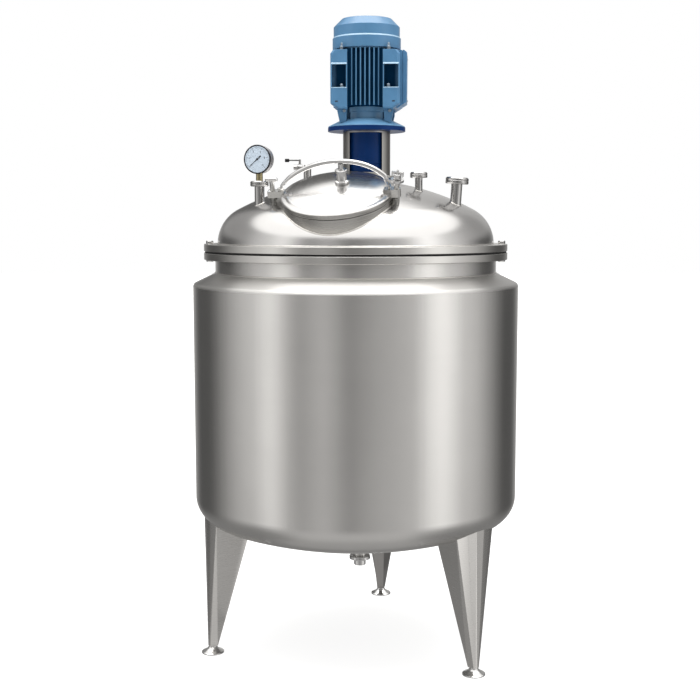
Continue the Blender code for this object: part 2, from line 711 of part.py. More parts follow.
def corner_block(name, right, front, place):
    """A cast pad on a corner of the frame, its lower and upper outer edges broken."""
    inner = FRAME_SIDE - 0.0015
    top = MOTOR_BODY_TOP_Z - 0.008
    levels = [(BLOCK_LOW_Z, 0.1000, 0.1180), (BLOCK_LOW_Z + 0.0060, 0.1085, BLOCK_FRONT)]
    levels += [(BLOCK_LOW_Z + 0.0186, BLOCK_SIDE, BLOCK_FRONT), (top - 0.0130, BLOCK_SIDE, BLOCK_FRONT)]
    levels += [(top, BLOCK_SIDE - 0.0100, BLOCK_FRONT)]
    points = []
    for height, side, reach in levels:
        outline = [(inner, 0.090), (inner, reach), (side - 0.0095, reach)]
        outline += [(side, reach - 0.0100), (side, inner), (0.090, inner)]
        points += [(right * x, front * y, height) for x, y in outline]
    return hull(name, points, None, place)


def corner_foot(name, right, front, place):
    """A foot under a corner pad, drawn in towards the flange that it stands on."""
    levels = [(MOTOR_RIM_TOP_Z, 0.0700, 0.0920), (1.9840, 0.0700, 0.0920)]
    levels += [(1.9900, 0.0680, 0.1020), (BLOCK_LOW_Z + 0.0040, 0.0680, 0.1020)]
    points = []
    for height, near, far in levels:
        points += [(right * x, front * y, height) for x in (near, far) for y in (near, far)]
    return hull(name, points, None, place)


def corner_pocket(name, right, front, place):
    """The deep pocket in a corner pad's front or back face."""
    near = Vector((right * (FRAME_SIDE + 0.0030), front * POCKET_DEEP, POCKET_LOW_Z))
    far = Vector((right * (BLOCK_SIDE - 0.0060), front * 0.2, POCKET_TOP_Z))
    low = Vector(min(pair) for pair in zip(near, far))
    high = Vector(max(pair) for pair in zip(near, far))
    return box(name, low, high, None, place)


def flange_outline(grow=0.0):
    """Outer outline of the motor flange: an upright rim, then a cone up to the neck."""
    low, rim, neck = LANTERN_TOP_Z + GAP, MOTOR_RIM_TOP_Z + grow, MOTOR_NECK_Z - GAP + grow
    edge = MOTOR_FLANGE_RADIUS + grow
    return [(0, low), (edge, low), (edge, rim - 0.0015), (edge - 0.0020, rim), (0.0920, neck), (0, neck)]


def build_motor_frame(place):
    outline = []
    for quarter in (0, 90, 180, 270):
        outline += frame_side(quarter, finned=quarter != 270)
    frame = prism("motor_frame", outline, MOTOR_BODY_Z, MOTOR_BODY_TOP_Z, light_blue(), place)
    corners = [(right, front) for right in (-1, 1) for front in (-1, 1)]
    for right, front in corners:
        name = "_%d_%d" % (right + 1, front + 1)
        fuse(frame, corner_block("block" + name, right, front, place))
        fuse(frame, corner_foot("corner_foot" + name, right, front, place))
        cut(frame, corner_pocket("pocket" + name, right, front, place))
    cut(frame, lathe("frame_trim", flange_outline(GAP), None, MIDDLE, place))


def build_motor():
    place = drive_frame()
    lathe("motor_flange", flange_outline(), deep_blue(), MIDDLE, place)
    outline = [(0, MOTOR_NECK_Z), (0.0610, MOTOR_NECK_Z), (0.0610, 1.9930), (0.0595, 1.9945)]
    outline += [(0.0640, 1.9960), (0.0640, MOTOR_BODY_Z - GAP), (0, MOTOR_BODY_Z - GAP)]
    lathe("motor_neck", outline, light_blue(), MIDDLE, place)
    build_motor_frame(place)
    outline = [(FRAME_ROOT + GAP, 2.0060), (0.1180, 2.0060), (0.1500, 2.0280), (0.1510, 2.2060)]
    outline += [(0.1400, 2.2150), (FRAME_ROOT + GAP, 2.2150)]
    prism("terminal_box", outline, -0.064, 0.064, light_blue(), place @ UPRIGHT)
    low = MOTOR_BODY_TOP_Z + GAP
    outline = [(0, low), (0.1120, low), (0.1120, FAN_COVER_Z), (0.1265, FAN_COVER_Z)]
    outline += [(0.1265, 2.2625), (0.1225, 2.2665)]
    outline += [(0.1225, 2.3035), (0.0925, FAN_COVER_TOP_Z), (0, FAN_COVER_TOP_Z)]
    lathe("fan_cover", outline, light_blue(), MIDDLE, place)


def build():
    clear_scene()
    build_jacket()
    build_vessel()
    build_dome()
    for name, (circle, azimuth) in FEET.items():
        build_leg(name, circle, azimuth)
    build_outlet()
    build_manway()
    build_gauge()
    build_valve()
    build_nozzles()
    build_lantern()
    build_shaft()
    build_motor()


build()
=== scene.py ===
"""Looks of the vacuum mixing tank: finishes, fine shells, welds, fasteners and the gauge's dial.

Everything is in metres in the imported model's frame: +Z up, and the photographed side is -Y.
"""

import json
import math

import bmesh
import bpy
from mathutils import Matrix, Vector

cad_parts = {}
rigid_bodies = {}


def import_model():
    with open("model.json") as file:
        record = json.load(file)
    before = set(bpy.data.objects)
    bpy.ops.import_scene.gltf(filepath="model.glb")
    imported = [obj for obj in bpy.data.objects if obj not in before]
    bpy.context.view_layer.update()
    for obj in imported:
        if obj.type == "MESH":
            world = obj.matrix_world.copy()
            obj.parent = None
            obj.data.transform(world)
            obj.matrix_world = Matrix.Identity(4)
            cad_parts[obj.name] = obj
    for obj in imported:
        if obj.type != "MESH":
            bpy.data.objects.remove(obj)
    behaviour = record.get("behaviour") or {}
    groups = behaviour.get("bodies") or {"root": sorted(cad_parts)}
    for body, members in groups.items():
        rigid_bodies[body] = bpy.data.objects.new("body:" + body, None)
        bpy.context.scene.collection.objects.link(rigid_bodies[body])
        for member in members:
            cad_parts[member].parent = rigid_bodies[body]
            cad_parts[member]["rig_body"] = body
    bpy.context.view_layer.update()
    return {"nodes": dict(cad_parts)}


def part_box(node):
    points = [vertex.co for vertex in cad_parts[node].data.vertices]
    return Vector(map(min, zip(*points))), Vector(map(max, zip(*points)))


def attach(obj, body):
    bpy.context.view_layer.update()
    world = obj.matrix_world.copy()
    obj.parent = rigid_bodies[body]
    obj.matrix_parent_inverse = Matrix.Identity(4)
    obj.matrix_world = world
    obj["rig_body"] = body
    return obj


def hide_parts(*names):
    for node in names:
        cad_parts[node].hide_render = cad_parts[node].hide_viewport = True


GAP = 0.0003

# Jacket, vessel and dome, turned about Z
JACKET_RADIUS = 0.600
JACKET_SKIN = 0.004
JACKET_SPRING_Z = 0.5771
JACKET_CROWN = 1.5223
JACKET_KNUCKLE = 0.0938
SHOULDER_EDGE_Z = 1.3556
SHOULDER_BEND = 0.0153
SHOULDER_SLOPE = math.radians(25.5)
SHOULDER_TOP_Z = 1.4042
VESSEL_RADIUS = 0.518
VESSEL_WALL = 0.006
FLANGE_RADIUS = 0.5586
FLANGE_THICK = 0.0247
PARTING_Z = 1.4815
GASKET_THICK = 0.0060
DOME_RADIUS = 0.5087
DOME_WALL = 0.006
DOME_CROWN = 0.9226
DOME_KNUCKLE = 0.1419
DOME_BASE_Z = PARTING_Z + GASKET_THICK / 2 + FLANGE_THICK + 2 * GAP
FLANGE_BOLT_CIRCLE = 0.5415

# Manway: centre of the lid's rim plane, lean towards the front, turn to the left
MANWAY_CENTRE = Vector((-0.0651, -0.3542, 1.6920))
MANWAY_LEAN = math.radians(24.1)
MANWAY_TURN = math.radians(12.1)
LID_RADIUS = 0.1915
LID_SKIRT = 0.018
LID_CROWN_HEIGHT = 0.035
LID_CROWN_RISE = 0.029
LID_CROWN_EDGE = 0.170
LID_PLATE = 0.005
NECK_RADIUS = 0.1890
NECK_WALL = 0.0075
NECK_LOW = -0.085
MANWAY_GASKET_THICK = 0.003

# Lifting arch: two half curves, each with its reach and the power that squares it off
ARCH_X = 0.019
ARCH_BASE = -0.050
ARCH_TOP = 0.1108
ARCH_ROD = 0.0082
ARCH_NUT = 0.0150
ARCH_THIN = 0.6
ARCH_LEFT = (0.2397, 1.88)
ARCH_RIGHT = (0.1935, 2.19)
CLAMP_PLATE_TOP = 0.0465

# Drive, on an axis of its own beside the vessel's
DRIVE_X = 0.041
DRIVE_Y = 0.080
DRIVE_TURN = math.radians(-3.5)
PAD_RADIUS = 0.112
PAD_TOP_Z = 1.7605
SHAFT_BORE = 0.036
LANTERN_RADIUS = 0.0885
LANTERN_TOP_Z = 1.9236
MOTOR_FLANGE_RADIUS = 0.1445
FLANGE_PAINT_Z = 1.9390
MOTOR_RIM_TOP_Z = 1.9434
MOTOR_NECK_Z = 1.9680
MOTOR_BODY_Z = 2.0130
MOTOR_BODY_TOP_Z = 2.2180
FAN_COVER_Z = 2.2215
FAN_COVER_TOP_Z = 2.3335

# Lips over and under a motor pocket: distance out to the front, and height
UPPER_LIP = [(0.1245, 2.1570), (0.1280, 2.1570), (0.1280, 2.1590), (0.1245, 2.1640)]
LOWER_LIP = [(0.1245, 2.0725), (0.1262, 2.0735), (0.1262, 2.0752), (0.1245, 2.0765)]
LIP_LENGTH = 0.0570

# Fittings on the dome, feet and outlet
GAUGE_AT = (-0.339, -0.2005)
GAUGE_Z = 1.8084
GAUGE_TURN = math.radians(19)
DIAL_FACE = 0.0185
VALVE_AT = (-0.178, 0.004)
VALVE_STEM_X = -0.2058
VALVE_Z = 1.7890
SMALL_NOZZLE_AT = (0.2244, -0.158)
LARGE_NOZZLE_AT = (0.355, -0.168)
LARGE_NOZZLE_LEAN = math.radians(3.5)
FEET = {"left": (0.5527, 196.3), "right": (0.5608, 318.1), "back": (0.5587, 78.8)}
LEG_FOOT_Z = 0.026
OUTLET_X = 0.016
OUTLET_END_Z = 0.3268
OUTLET_LOW_Z = 0.2891

# Facets on round pieces, and on a rounded corner
WIDE = 256
LID_FACETS = 192
MIDDLE = 96
SMALL = 48
CORNER_STEPS = 3

# Painted shade on the motor's paint, deep between its fins
RECESS_SHADE = (0.004, 0.034, 0.085, 1)

# Strip lights round the horizon: bearing from the camera's side towards +X, half width and level
STRIPS = ((-71, 56, 0.74), (-60, 18, 0.40), (-21, 20, 0.40), (30, 52, 0.40), (60, 23, 0.60), (76, 54, 0.80))
AMBIENT = 0.10
BACK_LEVEL = 0.55
FLANK_LEVEL = 0.25

# Oval lights overhead, measured on a plane one metre up, and the floor's light from below
OVERHEAD_LEVEL = 1.45
OVERHEAD_RADIUS = 1.70
OVERHEAD_SHIFT = 0.68
OVERHEAD_WIDTH = 1.25
ZENITH_LEVEL = 6.0
ZENITH_RADIUS = 0.50
DISC_BLUR = 0.15
FLOOR_FRONT = 0.64
FLOOR_SIDE = 0.27
UNDER_LEVEL = 0.46

CAMERA_AT = (0, -4.4505, 1.6040)
CAMERA_TILT = 0.110
CAMERA_LENS = 61.461
CAMERA_SHIFT = -0.00812

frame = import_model()


def add_node(tree, kind, settings=None, **inputs):
    """A shader node with its settings, and with its sockets fed by values or by other sockets."""
    node = tree.nodes.new(kind)
    for key, value in (settings or {}).items():
        setattr(node, key, value)
    for key, value in inputs.items():
        socket = node.inputs[int(key[1:])] if key[0] == "_" else node.inputs[key.replace("_", " ")]
        if isinstance(value, bpy.types.NodeSocket):
            tree.links.new(value, socket)
        else:
            socket.default_value = value
    return node


def noise(tree, stretch, detail=3.0, rough=0.5):
    """Noise in the piece's own coordinates, with so many waves a metre along X, Y and Z."""
    place = add_node(tree, "ShaderNodeTexCoord").outputs["Object"]
    scaled = add_node(tree, "ShaderNodeMapping", Vector=place, Scale=stretch).outputs[0]
    inputs = {"Vector": scaled, "Scale": 1.0, "Detail": detail, "Roughness": rough}
    return add_node(tree, "ShaderNodeTexNoise", **inputs).outputs["Fac"]


def ranged(tree, value, start, end, low, high, kind):
    """low where the value is at start, and high where it is at end."""
    inputs = {"Value": value, "From_Min": start, "From_Max": end, "To_Min": low, "To_Max": high}
    return add_node(tree, "ShaderNodeMapRange", {"interpolation_type": kind}, **inputs).outputs[0]


def spread(tree, value, low, high):
    """A noise value, which lies about 0.3 to 0.7, spread from low to high."""
    return ranged(tree, value, 0.3, 0.7, low, high, "LINEAR")


def faded(tree, value, start, end, low=0.0, high=1.0):
    """low at start and high at end, with a smooth step between them."""
    return ranged(tree, value, start, end, low, high, "SMOOTHSTEP")


def maths(tree, operation, *values):
    """The result of one operation on values or on sockets."""
    inputs = {"_%d" % k: value for k, value in enumerate(values)}
    return add_node(tree, "ShaderNodeMath", {"operation": operation}, **inputs).outputs[0]


def lerped(tree, share, first, second):
    """A value that is first at share 0 and second at share 1."""
    settings = {"data_type": "FLOAT"}
    return add_node(tree, "ShaderNodeMix", settings, Factor=share, _2=first, _3=second).outputs[0]


def blended(tree, share, first, second):
    """A colour that is first at share 0 and second at share 1."""
    mixed = add_node(tree, "ShaderNodeMix", {"data_type": "RGBA"}, Factor=share)
    mixed.inputs[6].default_value = (*first, 1)
    mixed.inputs[7].default_value = (*second, 1)
    return mixed.outputs[2]


def bump(tree, height, strength, distance, below=None):
    """Relief from a height, on top of the relief below it."""
    made = add_node(tree, "ShaderNodeBump", Height=height, Strength=strength, Distance=distance)
    if below is not None:
        tree.links.new(below, made.inputs["Normal"])
    return made.outputs[0]


def new_finish(name, metallic=0.0, coat=0.0):
    """A new material, its nodes and its main shader."""
    finish = bpy.data.materials.new(name)
    finish.use_nodes = True
    shader = finish.node_tree.nodes["Principled BSDF"]
    shader.inputs["Metallic"].default_value = metallic
    shader.inputs["Coat Weight"].default_value = coat
    return finish, finish.node_tree, shader


def feed(tree, shader, **sockets):
    """Sets the shader's sockets to values or links them to other sockets."""
    for key, value in sockets.items():
        socket = shader.inputs[key.replace("_", " ")]
        if isinstance(value, bpy.types.NodeSocket):
            tree.links.new(value, socket)
        else:
            socket.default_value = value


def steel(name, bright, smooth, grain, waves=0.0, stretch=0.0):
    """Stainless steel with fine lines round the piece's Z axis: stretch draws glints out across the lines."""
    finish, tree, shader = new_finish(name, metallic=1.0)
    lines = noise(tree, (3, 3, 900), 2.0, 0.6)
    clouds = noise(tree, (5, 5, 4), 4.0)
    tone = blended(tree, spread(tree, clouds, 0, 1), [0.95 * c for c in bright], bright)
    bumped = bump(tree, lines, grain, 0.0001)
    if waves:
        bumped = bump(tree, noise(tree, (16, 16, 0.4), 5.0, 0.55), waves, 0.004, bumped)
    rough = spread(tree, lines, smooth - 0.015, smooth + 0.02)
    feed(tree, shader, Base_Color=tone, Roughness=rough, Normal=bumped)
    if stretch:
        shader.inputs["Anisotropic"].default_value = stretch
        shader.inputs["Anisotropic Rotation"].default_value = 0.25
        round_z = add_node(tree, "ShaderNodeTangent", {"direction_type": "RADIAL", "axis": "Z"})
        tree.links.new(round_z.outputs[0], shader.inputs["Tangent"])
    return finish


def unshaded_share(tree, core):
    """1 on paint left unshaded, 0 on painted shade: the painted shade lies within core of the piece's Z,
    above MOTOR_BODY_Z.
    """
    place = add_node(tree, "ShaderNodeTexCoord").outputs["Object"]
    x, y, z = add_node(tree, "ShaderNodeSeparateXYZ", Vector=place).outputs
    sides = [maths(tree, "ABSOLUTE", value) for value in (x, y)]
    outside = faded(tree, maths(tree, "MAXIMUM", *sides), core, core + 0.014)
    low = faded(tree, z, MOTOR_BODY_Z, MOTOR_BODY_Z - 0.006, 0.0, 0.8)
    return maths(tree, "MAXIMUM", outside, low)


def paint(name, colour, smooth, gloss=0.35, coat=0.2, core=None):
    """Paint over cast metal: orange peel, faint fading, a thin clear coat, and painted shade within the core,
    darker and less shiny.
    """
    finish, tree, shader = new_finish(name, coat=coat)
    clouds = noise(tree, (14, 14, 14), 5.0)
    tone = blended(tree, spread(tree, clouds, 0, 1), [0.84 * c for c in colour], colour)
    # Painted shade: darker, less shiny paint deep in the core
    if core:
        unshaded = unshaded_share(tree, core)
        mixed = add_node(tree, "ShaderNodeMix", {"data_type": "RGBA"}, Factor=unshaded, _7=tone)
        mixed.inputs[6].default_value = RECESS_SHADE
        tone = mixed.outputs[2]
        gloss = maths(tree, "MULTIPLY", unshaded, gloss)
    cast = noise(tree, (260, 260, 260), 4.0)
    peel = noise(tree, (900, 900, 900), 2.0)
    bumped = bump(tree, peel, 0.06, 0.0003, bump(tree, cast, 0.14, 0.0008))
    rough = spread(tree, clouds, smooth - 0.04, smooth + 0.06)
    feed(tree, shader, Base_Color=tone, Roughness=rough, Normal=bumped, Specular_IOR_Level=gloss)
    shader.inputs["Coat Roughness"].default_value = 0.18
    return finish


def matt(name, waves, detail, dark, light, rough, gloss=0.5, relief=0.0):
    """A matt finish whose colour varies between dark and light, with relief where it is asked for."""
    finish, tree, shader = new_finish(name)
    grain = noise(tree, (waves, waves, waves), detail)
    tone = blended(tree, spread(tree, grain, 0, 1), dark, light)
    feed(tree, shader, Base_Color=tone, Roughness=rough, Specular_IOR_Level=gloss)
    if relief:
        feed(tree, shader, Normal=bump(tree, grain, relief, 0.0003))
    return finish


def clear_glass():
    finish, tree, shader = new_finish("clear_glass")
    sheen = noise(tree, (30, 30, 30), 2.0)
    feed(tree, shader, Base_Color=(0.96, 0.98, 1.0, 1), Roughness=spread(tree, sheen, 0.01, 0.03))
    shader.inputs["Transmission Weight"].default_value = 1.0
    shader.inputs["IOR"].default_value = 1.10
    return finish


# Finishes: name, colour, roughness and, for steel, depth of its brushed lines
SHELL = steel("shell_steel", (0.64, 0.63, 0.615), 0.225, 0.03, waves=0.10, stretch=0.95)
SHOULDER = steel("shoulder_steel", (0.76, 0.75, 0.73), 0.38, 0.03, waves=0.06, stretch=0.95)
DOME = steel("dome_steel", (0.70, 0.69, 0.68), 0.20, 0.03, waves=0.03)
BRUSHED = steel("fitting_steel", (0.60, 0.59, 0.57), 0.24, 0.10)
BRIGHT = steel("bright_steel", (0.66, 0.655, 0.65), 0.15, 0.05)
PIPE_STEEL = steel("pipe_steel", (0.42, 0.415, 0.41), 0.20, 0.05)
# Darker steel for the pivot and clamp barrels and the clamp's stud: painted shade
SHADED_STEEL = steel("painted_shade_steel", (0.33, 0.325, 0.31), 0.26, 0.10)
LANTERN_STEEL = steel("lantern_steel", (0.44, 0.43, 0.41), 0.30, 0.10, stretch=0.5)
LEG = steel("leg_steel", (0.74, 0.725, 0.705), 0.28, 0.01, stretch=0.5)
# Darker steel for the back leg: painted shade
SHADED_LEG = steel("painted_shade_leg_steel", (0.36, 0.35, 0.34), 0.30, 0.01, stretch=0.6)
NECK_STEEL = steel("neck_steel", (0.46, 0.45, 0.43), 0.26, 0.06)
BOLT = steel("bolt_steel", (0.40, 0.48, 0.56), 0.28, 0.05)
CASE_STEEL = steel("case_steel", (0.60, 0.59, 0.60), 0.42, 0.05)
BLACK_STEEL = steel("blackened_steel", (0.045, 0.045, 0.050), 0.30, 0.05)
WELD = steel("weld_steel", (0.72, 0.70, 0.67), 0.22, 0.30)
BRASS = steel("stem_brass", (0.36, 0.31, 0.18), 0.28, 0.10)
LIGHT_BLUE = paint("light_blue_paint", (0.072, 0.195, 0.350), 0.34)
# The frame's paint, with painted shade deep between its fins
FRAME_BLUE = paint("frame_blue_paint", (0.072, 0.195, 0.350), 0.34, coat=0.0, core=0.104)
# A paler paint for the fan cover's ridge and the pockets' lips: painted highlight
HIGHLIGHT_BLUE = paint("painted_highlight_paint", (0.34, 0.52, 0.68), 0.30)
# A paler copy of the motor's paint for its neck and the flange's cone: painted light
PAINTED_LIT_BLUE = paint("painted_lit_blue_paint", (0.125, 0.285, 0.470), 0.34)
# A dark paint for the ribs beside the motor's neck: painted shade
SHADE_BLUE = paint("painted_shade_blue_paint", (0.020, 0.065, 0.125), 0.40)
# Deep blue: the coupling housing's own paint, and painted shade on the motor flange's rim
DEEP_BLUE = paint("deep_blue_paint", (0.0022, 0.026, 0.118), 0.32, 0.10, 0.03)
RUBBER = matt("rubber", 700, 4.0, (0.006, 0.006, 0.007), (0.016, 0.015, 0.015), 0.62, 0.2, 0.2)
DIAL = matt("dial_face", 60, 3.0, (0.56, 0.63, 0.70), (0.62, 0.69, 0.76), 0.42)
INK = matt("ink", 400, 2.0, (0.010, 0.012, 0.016), (0.022, 0.024, 0.030), 0.45)
GLASS = clear_glass()


def at(x, y, z=0.0):
    return Matrix.Translation((x, y, z))


def turned_about(axis, degrees):
    return Matrix.Rotation(math.radians(degrees), 4, axis)


def manway_frame():
    """Local X runs to the right, Y uphill to the back, Z out along the lid's axis."""
    out = Vector((-math.sin(MANWAY_TURN), -math.cos(MANWAY_TURN), 0))
    normal = math.cos(MANWAY_LEAN) * Vector((0, 0, 1)) + math.sin(MANWAY_LEAN) * out
    across = Vector((math.cos(MANWAY_TURN), -math.sin(MANWAY_TURN), 0))
    turn = Matrix((across, normal.cross(across), normal)).transposed().to_4x4()
    return Matrix.Translation(MANWAY_CENTRE) @ turn


# Frames that pieces are built in
MANWAY = manway_frame()
DRIVE = at(DRIVE_X, DRIVE_Y) @ Matrix.Rotation(DRIVE_TURN, 4, "Z")
GAUGE = at(*GAUGE_AT, GAUGE_Z) @ Matrix.Rotation(-GAUGE_TURN, 4, "Z") @ turned_about("X", 90)
LARGE_NOZZLE = at(*LARGE_NOZZLE_AT, 1.6525) @ Matrix.Rotation(LARGE_NOZZLE_LEAN, 4, "Y")


def linked(name, data, place=None):
    """A new object in the scene, at its place if one is given."""
    made = bpy.data.objects.new(name, data)
    bpy.context.scene.collection.objects.link(made)
    if place is not None:
        made.matrix_world = place
    return made


def new_piece(name, bm, finish, place=None, sharp=35):
    """A piece from a built mesh, smooth across edges that turn by less than sharp degrees."""
    bmesh.ops.recalc_face_normals(bm, faces=bm.faces)
    mesh = bpy.data.meshes.new(name)
    bm.to_mesh(mesh)
    bm.free()
    mesh.shade_smooth()
    mesh.set_sharp_from_angle(angle=math.radians(sharp))
    mesh.materials.append(finish)
    return linked(name, mesh, place)


def carried(piece, body="tank", stands_for=()):
    """The piece rides on a body, and may stand for CAD nodes."""
    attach(piece, body)
    if stands_for:
        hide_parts(*stands_for)
    return piece


def ring(inner, outer, low, high):
    """The outline of a plain ring, or of a disc where inner is 0."""
    return [(inner, low), (outer, low), (outer, high), (inner, high)]


def filleted(outline, radius):
    """A closed outline with its corners rounded, except those on the axis."""
    rounded = []
    for k, corner in enumerate(outline):
        here, back, ahead = Vector(corner), Vector(outline[k - 1]), Vector(outline[(k + 1) % len(outline)])
        turn = (back - here).angle(ahead - here)
        if here.x < 1e-6 or turn > math.radians(163):
            rounded.append(tuple(here))
            continue
        reach = radius / math.tan(turn / 2)
        start = here + (back - here).normalized() * min(reach, 0.45 * (back - here).length)
        end = here + (ahead - here).normalized() * min(reach, 0.45 * (ahead - here).length)
        for step in range(CORNER_STEPS + 1):
            t = step / CORNER_STEPS
            rounded.append(tuple(start * (1 - t) ** 2 + here * 2 * t * (1 - t) + end * t * t))
    return rounded


def lathe(name, outline, finish, steps, place=None, fillet=0.0):
    """A closed outline of (radius, height) points turned once round Z."""
    points = filleted(outline, fillet) if fillet else outline
    bm = bmesh.new()
    rows = []
    for r, z in points:
        if r < 1e-6:
            rows.append([bm.verts.new((0, 0, z))])
            continue
        turns = [math.tau * k / steps for k in range(steps)]
        rows.append([bm.verts.new((r * math.cos(a), r * math.sin(a), z)) for a in turns])
    for row, after in zip(rows, rows[1:] + rows[:1]):
        for k in range(steps):
            n = (k + 1) % steps
            face = [row[k % len(row)], row[n % len(row)], after[n % len(after)], after[k % len(after)]]
            corners = list(dict.fromkeys(face))
            if len(corners) > 2:
                bm.faces.new(corners)
    return new_piece(name, bm, finish, place)


def carried_lathe(node, outline, finish, steps, place=None, fillet=0.0008):
    """A turned piece that stands for one CAD node, on that node's body."""
    piece = lathe(node + "_fine", outline, finish, steps, place, fillet)
    flat = piece.modifiers.new("flat_faces", "WEIGHTED_NORMAL")
    flat.keep_sharp = True
    return carried(piece, frame["nodes"][node]["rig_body"], (node,))


def evaluated_mesh(piece):
    """The piece's mesh with its modifiers, or its curve's shape, worked in."""
    graph = bpy.context.evaluated_depsgraph_get()
    return bpy.data.meshes.new_from_object(piece.evaluated_get(graph))


def cut_once(piece, cutters):
    """Cuts the piece by each cutter for good, and takes the cutters away."""
    for cutter in cutters:
        step = piece.modifiers.new("cut", "BOOLEAN")
        step.operation = "DIFFERENCE"
        step.solver = "EXACT"
        step.object = cutter
    bpy.context.view_layer.update()
    mesh = evaluated_mesh(piece)
    piece.modifiers.clear()
    piece.data = mesh
    for cutter in cutters:
        bpy.data.objects.remove(cutter)


def meshed(name, curve, finish, place=None):
    """A mesh piece made from a curve or from letters."""
    made = linked(name, curve, place)
    bpy.context.view_layer.update()
    piece = linked(name, evaluated_mesh(made), place)
    bpy.data.objects.remove(made)
    piece.data.materials.append(finish)
    return piece


def tube(name, points, radius, finish, place=None, closed=False, sides=10):
    """A round bar along a line of points, each with its own thickness where it has a fourth value."""
    curve = bpy.data.curves.new(name, "CURVE")
    curve.dimensions = "3D"
    curve.bevel_depth = radius
    curve.bevel_resolution = max(1, sides // 4)
    curve.use_fill_caps = not closed
    spline = curve.splines.new("POLY")
    spline.points.add(len(points) - 1)
    spline.use_cyclic_u = closed
    for knot, point in zip(spline.points, points):
        knot.co = (*point[:3], 1)
        knot.radius = point[3] if len(point) > 3 else 1.0
    piece = meshed(name, curve, finish, place)
    piece.data.shade_smooth()
    return piece


def number_piece(name, text, size, place):
    """A number on the dial, slightly raised."""
    letters = bpy.data.curves.new(name, "FONT")
    letters.body = text
    letters.size = size
    letters.align_x = "CENTER"
    letters.align_y = "CENTER"
    letters.extrude = 0.0001
    letters.resolution_u = 3
    return meshed(name, letters, INK, place)


def softened(piece, width, degrees=25, segments=2):
    """The piece with its edges rounded where they turn by more than so many degrees."""
    step = piece.modifiers.new("edges", "BEVEL")
    step.width = width
    step.segments = segments
    step.limit_method = "ANGLE"
    step.angle_limit = math.radians(degrees)
    step.harden_normals = True
    return piece


def refined(node, finish, bevel, sharp=30, segments=2, place=None):
    """A CAD node's own shape with its edges softly broken and its round faces smooth."""
    source = frame["nodes"][node]
    bm = bmesh.new()
    bm.from_mesh(source.data)
    bmesh.ops.remove_doubles(bm, verts=bm.verts, dist=2e-5)
    bmesh.ops.dissolve_limit(bm, angle_limit=math.radians(1.0), verts=bm.verts, edges=bm.edges)
    if place is not None:
        bm.transform(place.inverted())
    piece = new_piece(node + "_fine", bm, finish, place, sharp)
    if bevel:
        softened(piece, bevel, sharp + 4, segments)
    return carried(piece, source["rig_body"], (node,))


def flat_piece(name, outline, low, high, finish, place):
    """A flat outline in X and Y, given thickness from low to high."""
    bm = bmesh.new()
    base = bm.faces.new([bm.verts.new((x, y, low)) for x, y in outline])
    grown = bmesh.ops.extrude_face_region(bm, geom=[base])
    risen = [v for v in grown["geom"] if isinstance(v, bmesh.types.BMVert)]
    bmesh.ops.translate(bm, verts=risen, vec=(0, 0, high - low))
    return new_piece(name, bm, finish, place)


def hexagon(name, across, low, high, finish, place):
    """A hexagon bolt head with its rim chamfered, given its width across the flats."""
    bm = bmesh.new()
    reach = across / math.sqrt(3)
    turns = [math.tau * k / 6 for k in range(6)]
    rows = []
    for radius, z in ((reach, low), (reach, high - 0.09 * across), (reach * 0.88, high)):
        rows.append([bm.verts.new((radius * math.cos(a), radius * math.sin(a), z)) for a in turns])
    for row, after in zip(rows, rows[1:]):
        for k in range(6):
            n = (k + 1) % 6
            bm.faces.new((row[k], row[n], after[n], after[k]))
    bm.faces.new(rows[0][::-1])
    bm.faces.new(rows[-1])
    piece = new_piece(name, bm, finish, place, 20)
    step = piece.modifiers.new("edges", "BEVEL")
    step.width = 0.03 * across
    step.segments = 2
    return piece


def dish_parts(radius, crown, knuckle):
    """A dished end's knuckle centre, its crown centre's depth below the rim, and where the two arcs meet."""
    knuckle_x = radius - knuckle
    drop = math.sqrt((crown - knuckle) ** 2 - knuckle_x**2)
    return knuckle_x, drop, math.atan2(knuckle_x, drop)


def dished(radius, crown, knuckle, knuckle_steps=16, crown_steps=32):
    """(radius, rise) points of a dished end, from its rim up to its middle."""
    knuckle_x, drop, meet = dish_parts(radius, crown, knuckle)
    points = []
    for k in range(knuckle_steps):
        angle = math.pi / 2 + (meet - math.pi / 2) * k / knuckle_steps
        points.append((knuckle_x + knuckle * math.sin(angle), knuckle * math.cos(angle)))
    for k in range(crown_steps + 1):
        angle = meet * (1 - k / crown_steps)
        points.append((crown * math.sin(angle), crown * math.cos(angle) - drop))
    return points


def dome_rise(reach):
    """Height of the dome's outer face at a distance from Z."""
    knuckle_x, drop, meet = dish_parts(DOME_RADIUS, DOME_CROWN, DOME_KNUCKLE)
    if reach <= DOME_CROWN * math.sin(meet):
        return DOME_BASE_Z + math.sqrt(DOME_CROWN**2 - reach**2) - drop
    inside = DOME_KNUCKLE**2 - (min(reach, DOME_RADIUS) - knuckle_x) ** 2
    return DOME_BASE_Z + math.sqrt(max(0.0, inside))


def dome_normal(point):
    """Outward direction of the dome's face at a point on it."""
    knuckle_x, drop, meet = dish_parts(DOME_RADIUS, DOME_CROWN, DOME_KNUCKLE)
    if math.hypot(point.x, point.y) <= DOME_CROWN * math.sin(meet):
        return (point - Vector((0, 0, DOME_BASE_Z - drop))).normalized()
    along = Vector((point.x, point.y, 0)).normalized()
    return (point - along * knuckle_x - Vector((0, 0, DOME_BASE_Z))).normalized()


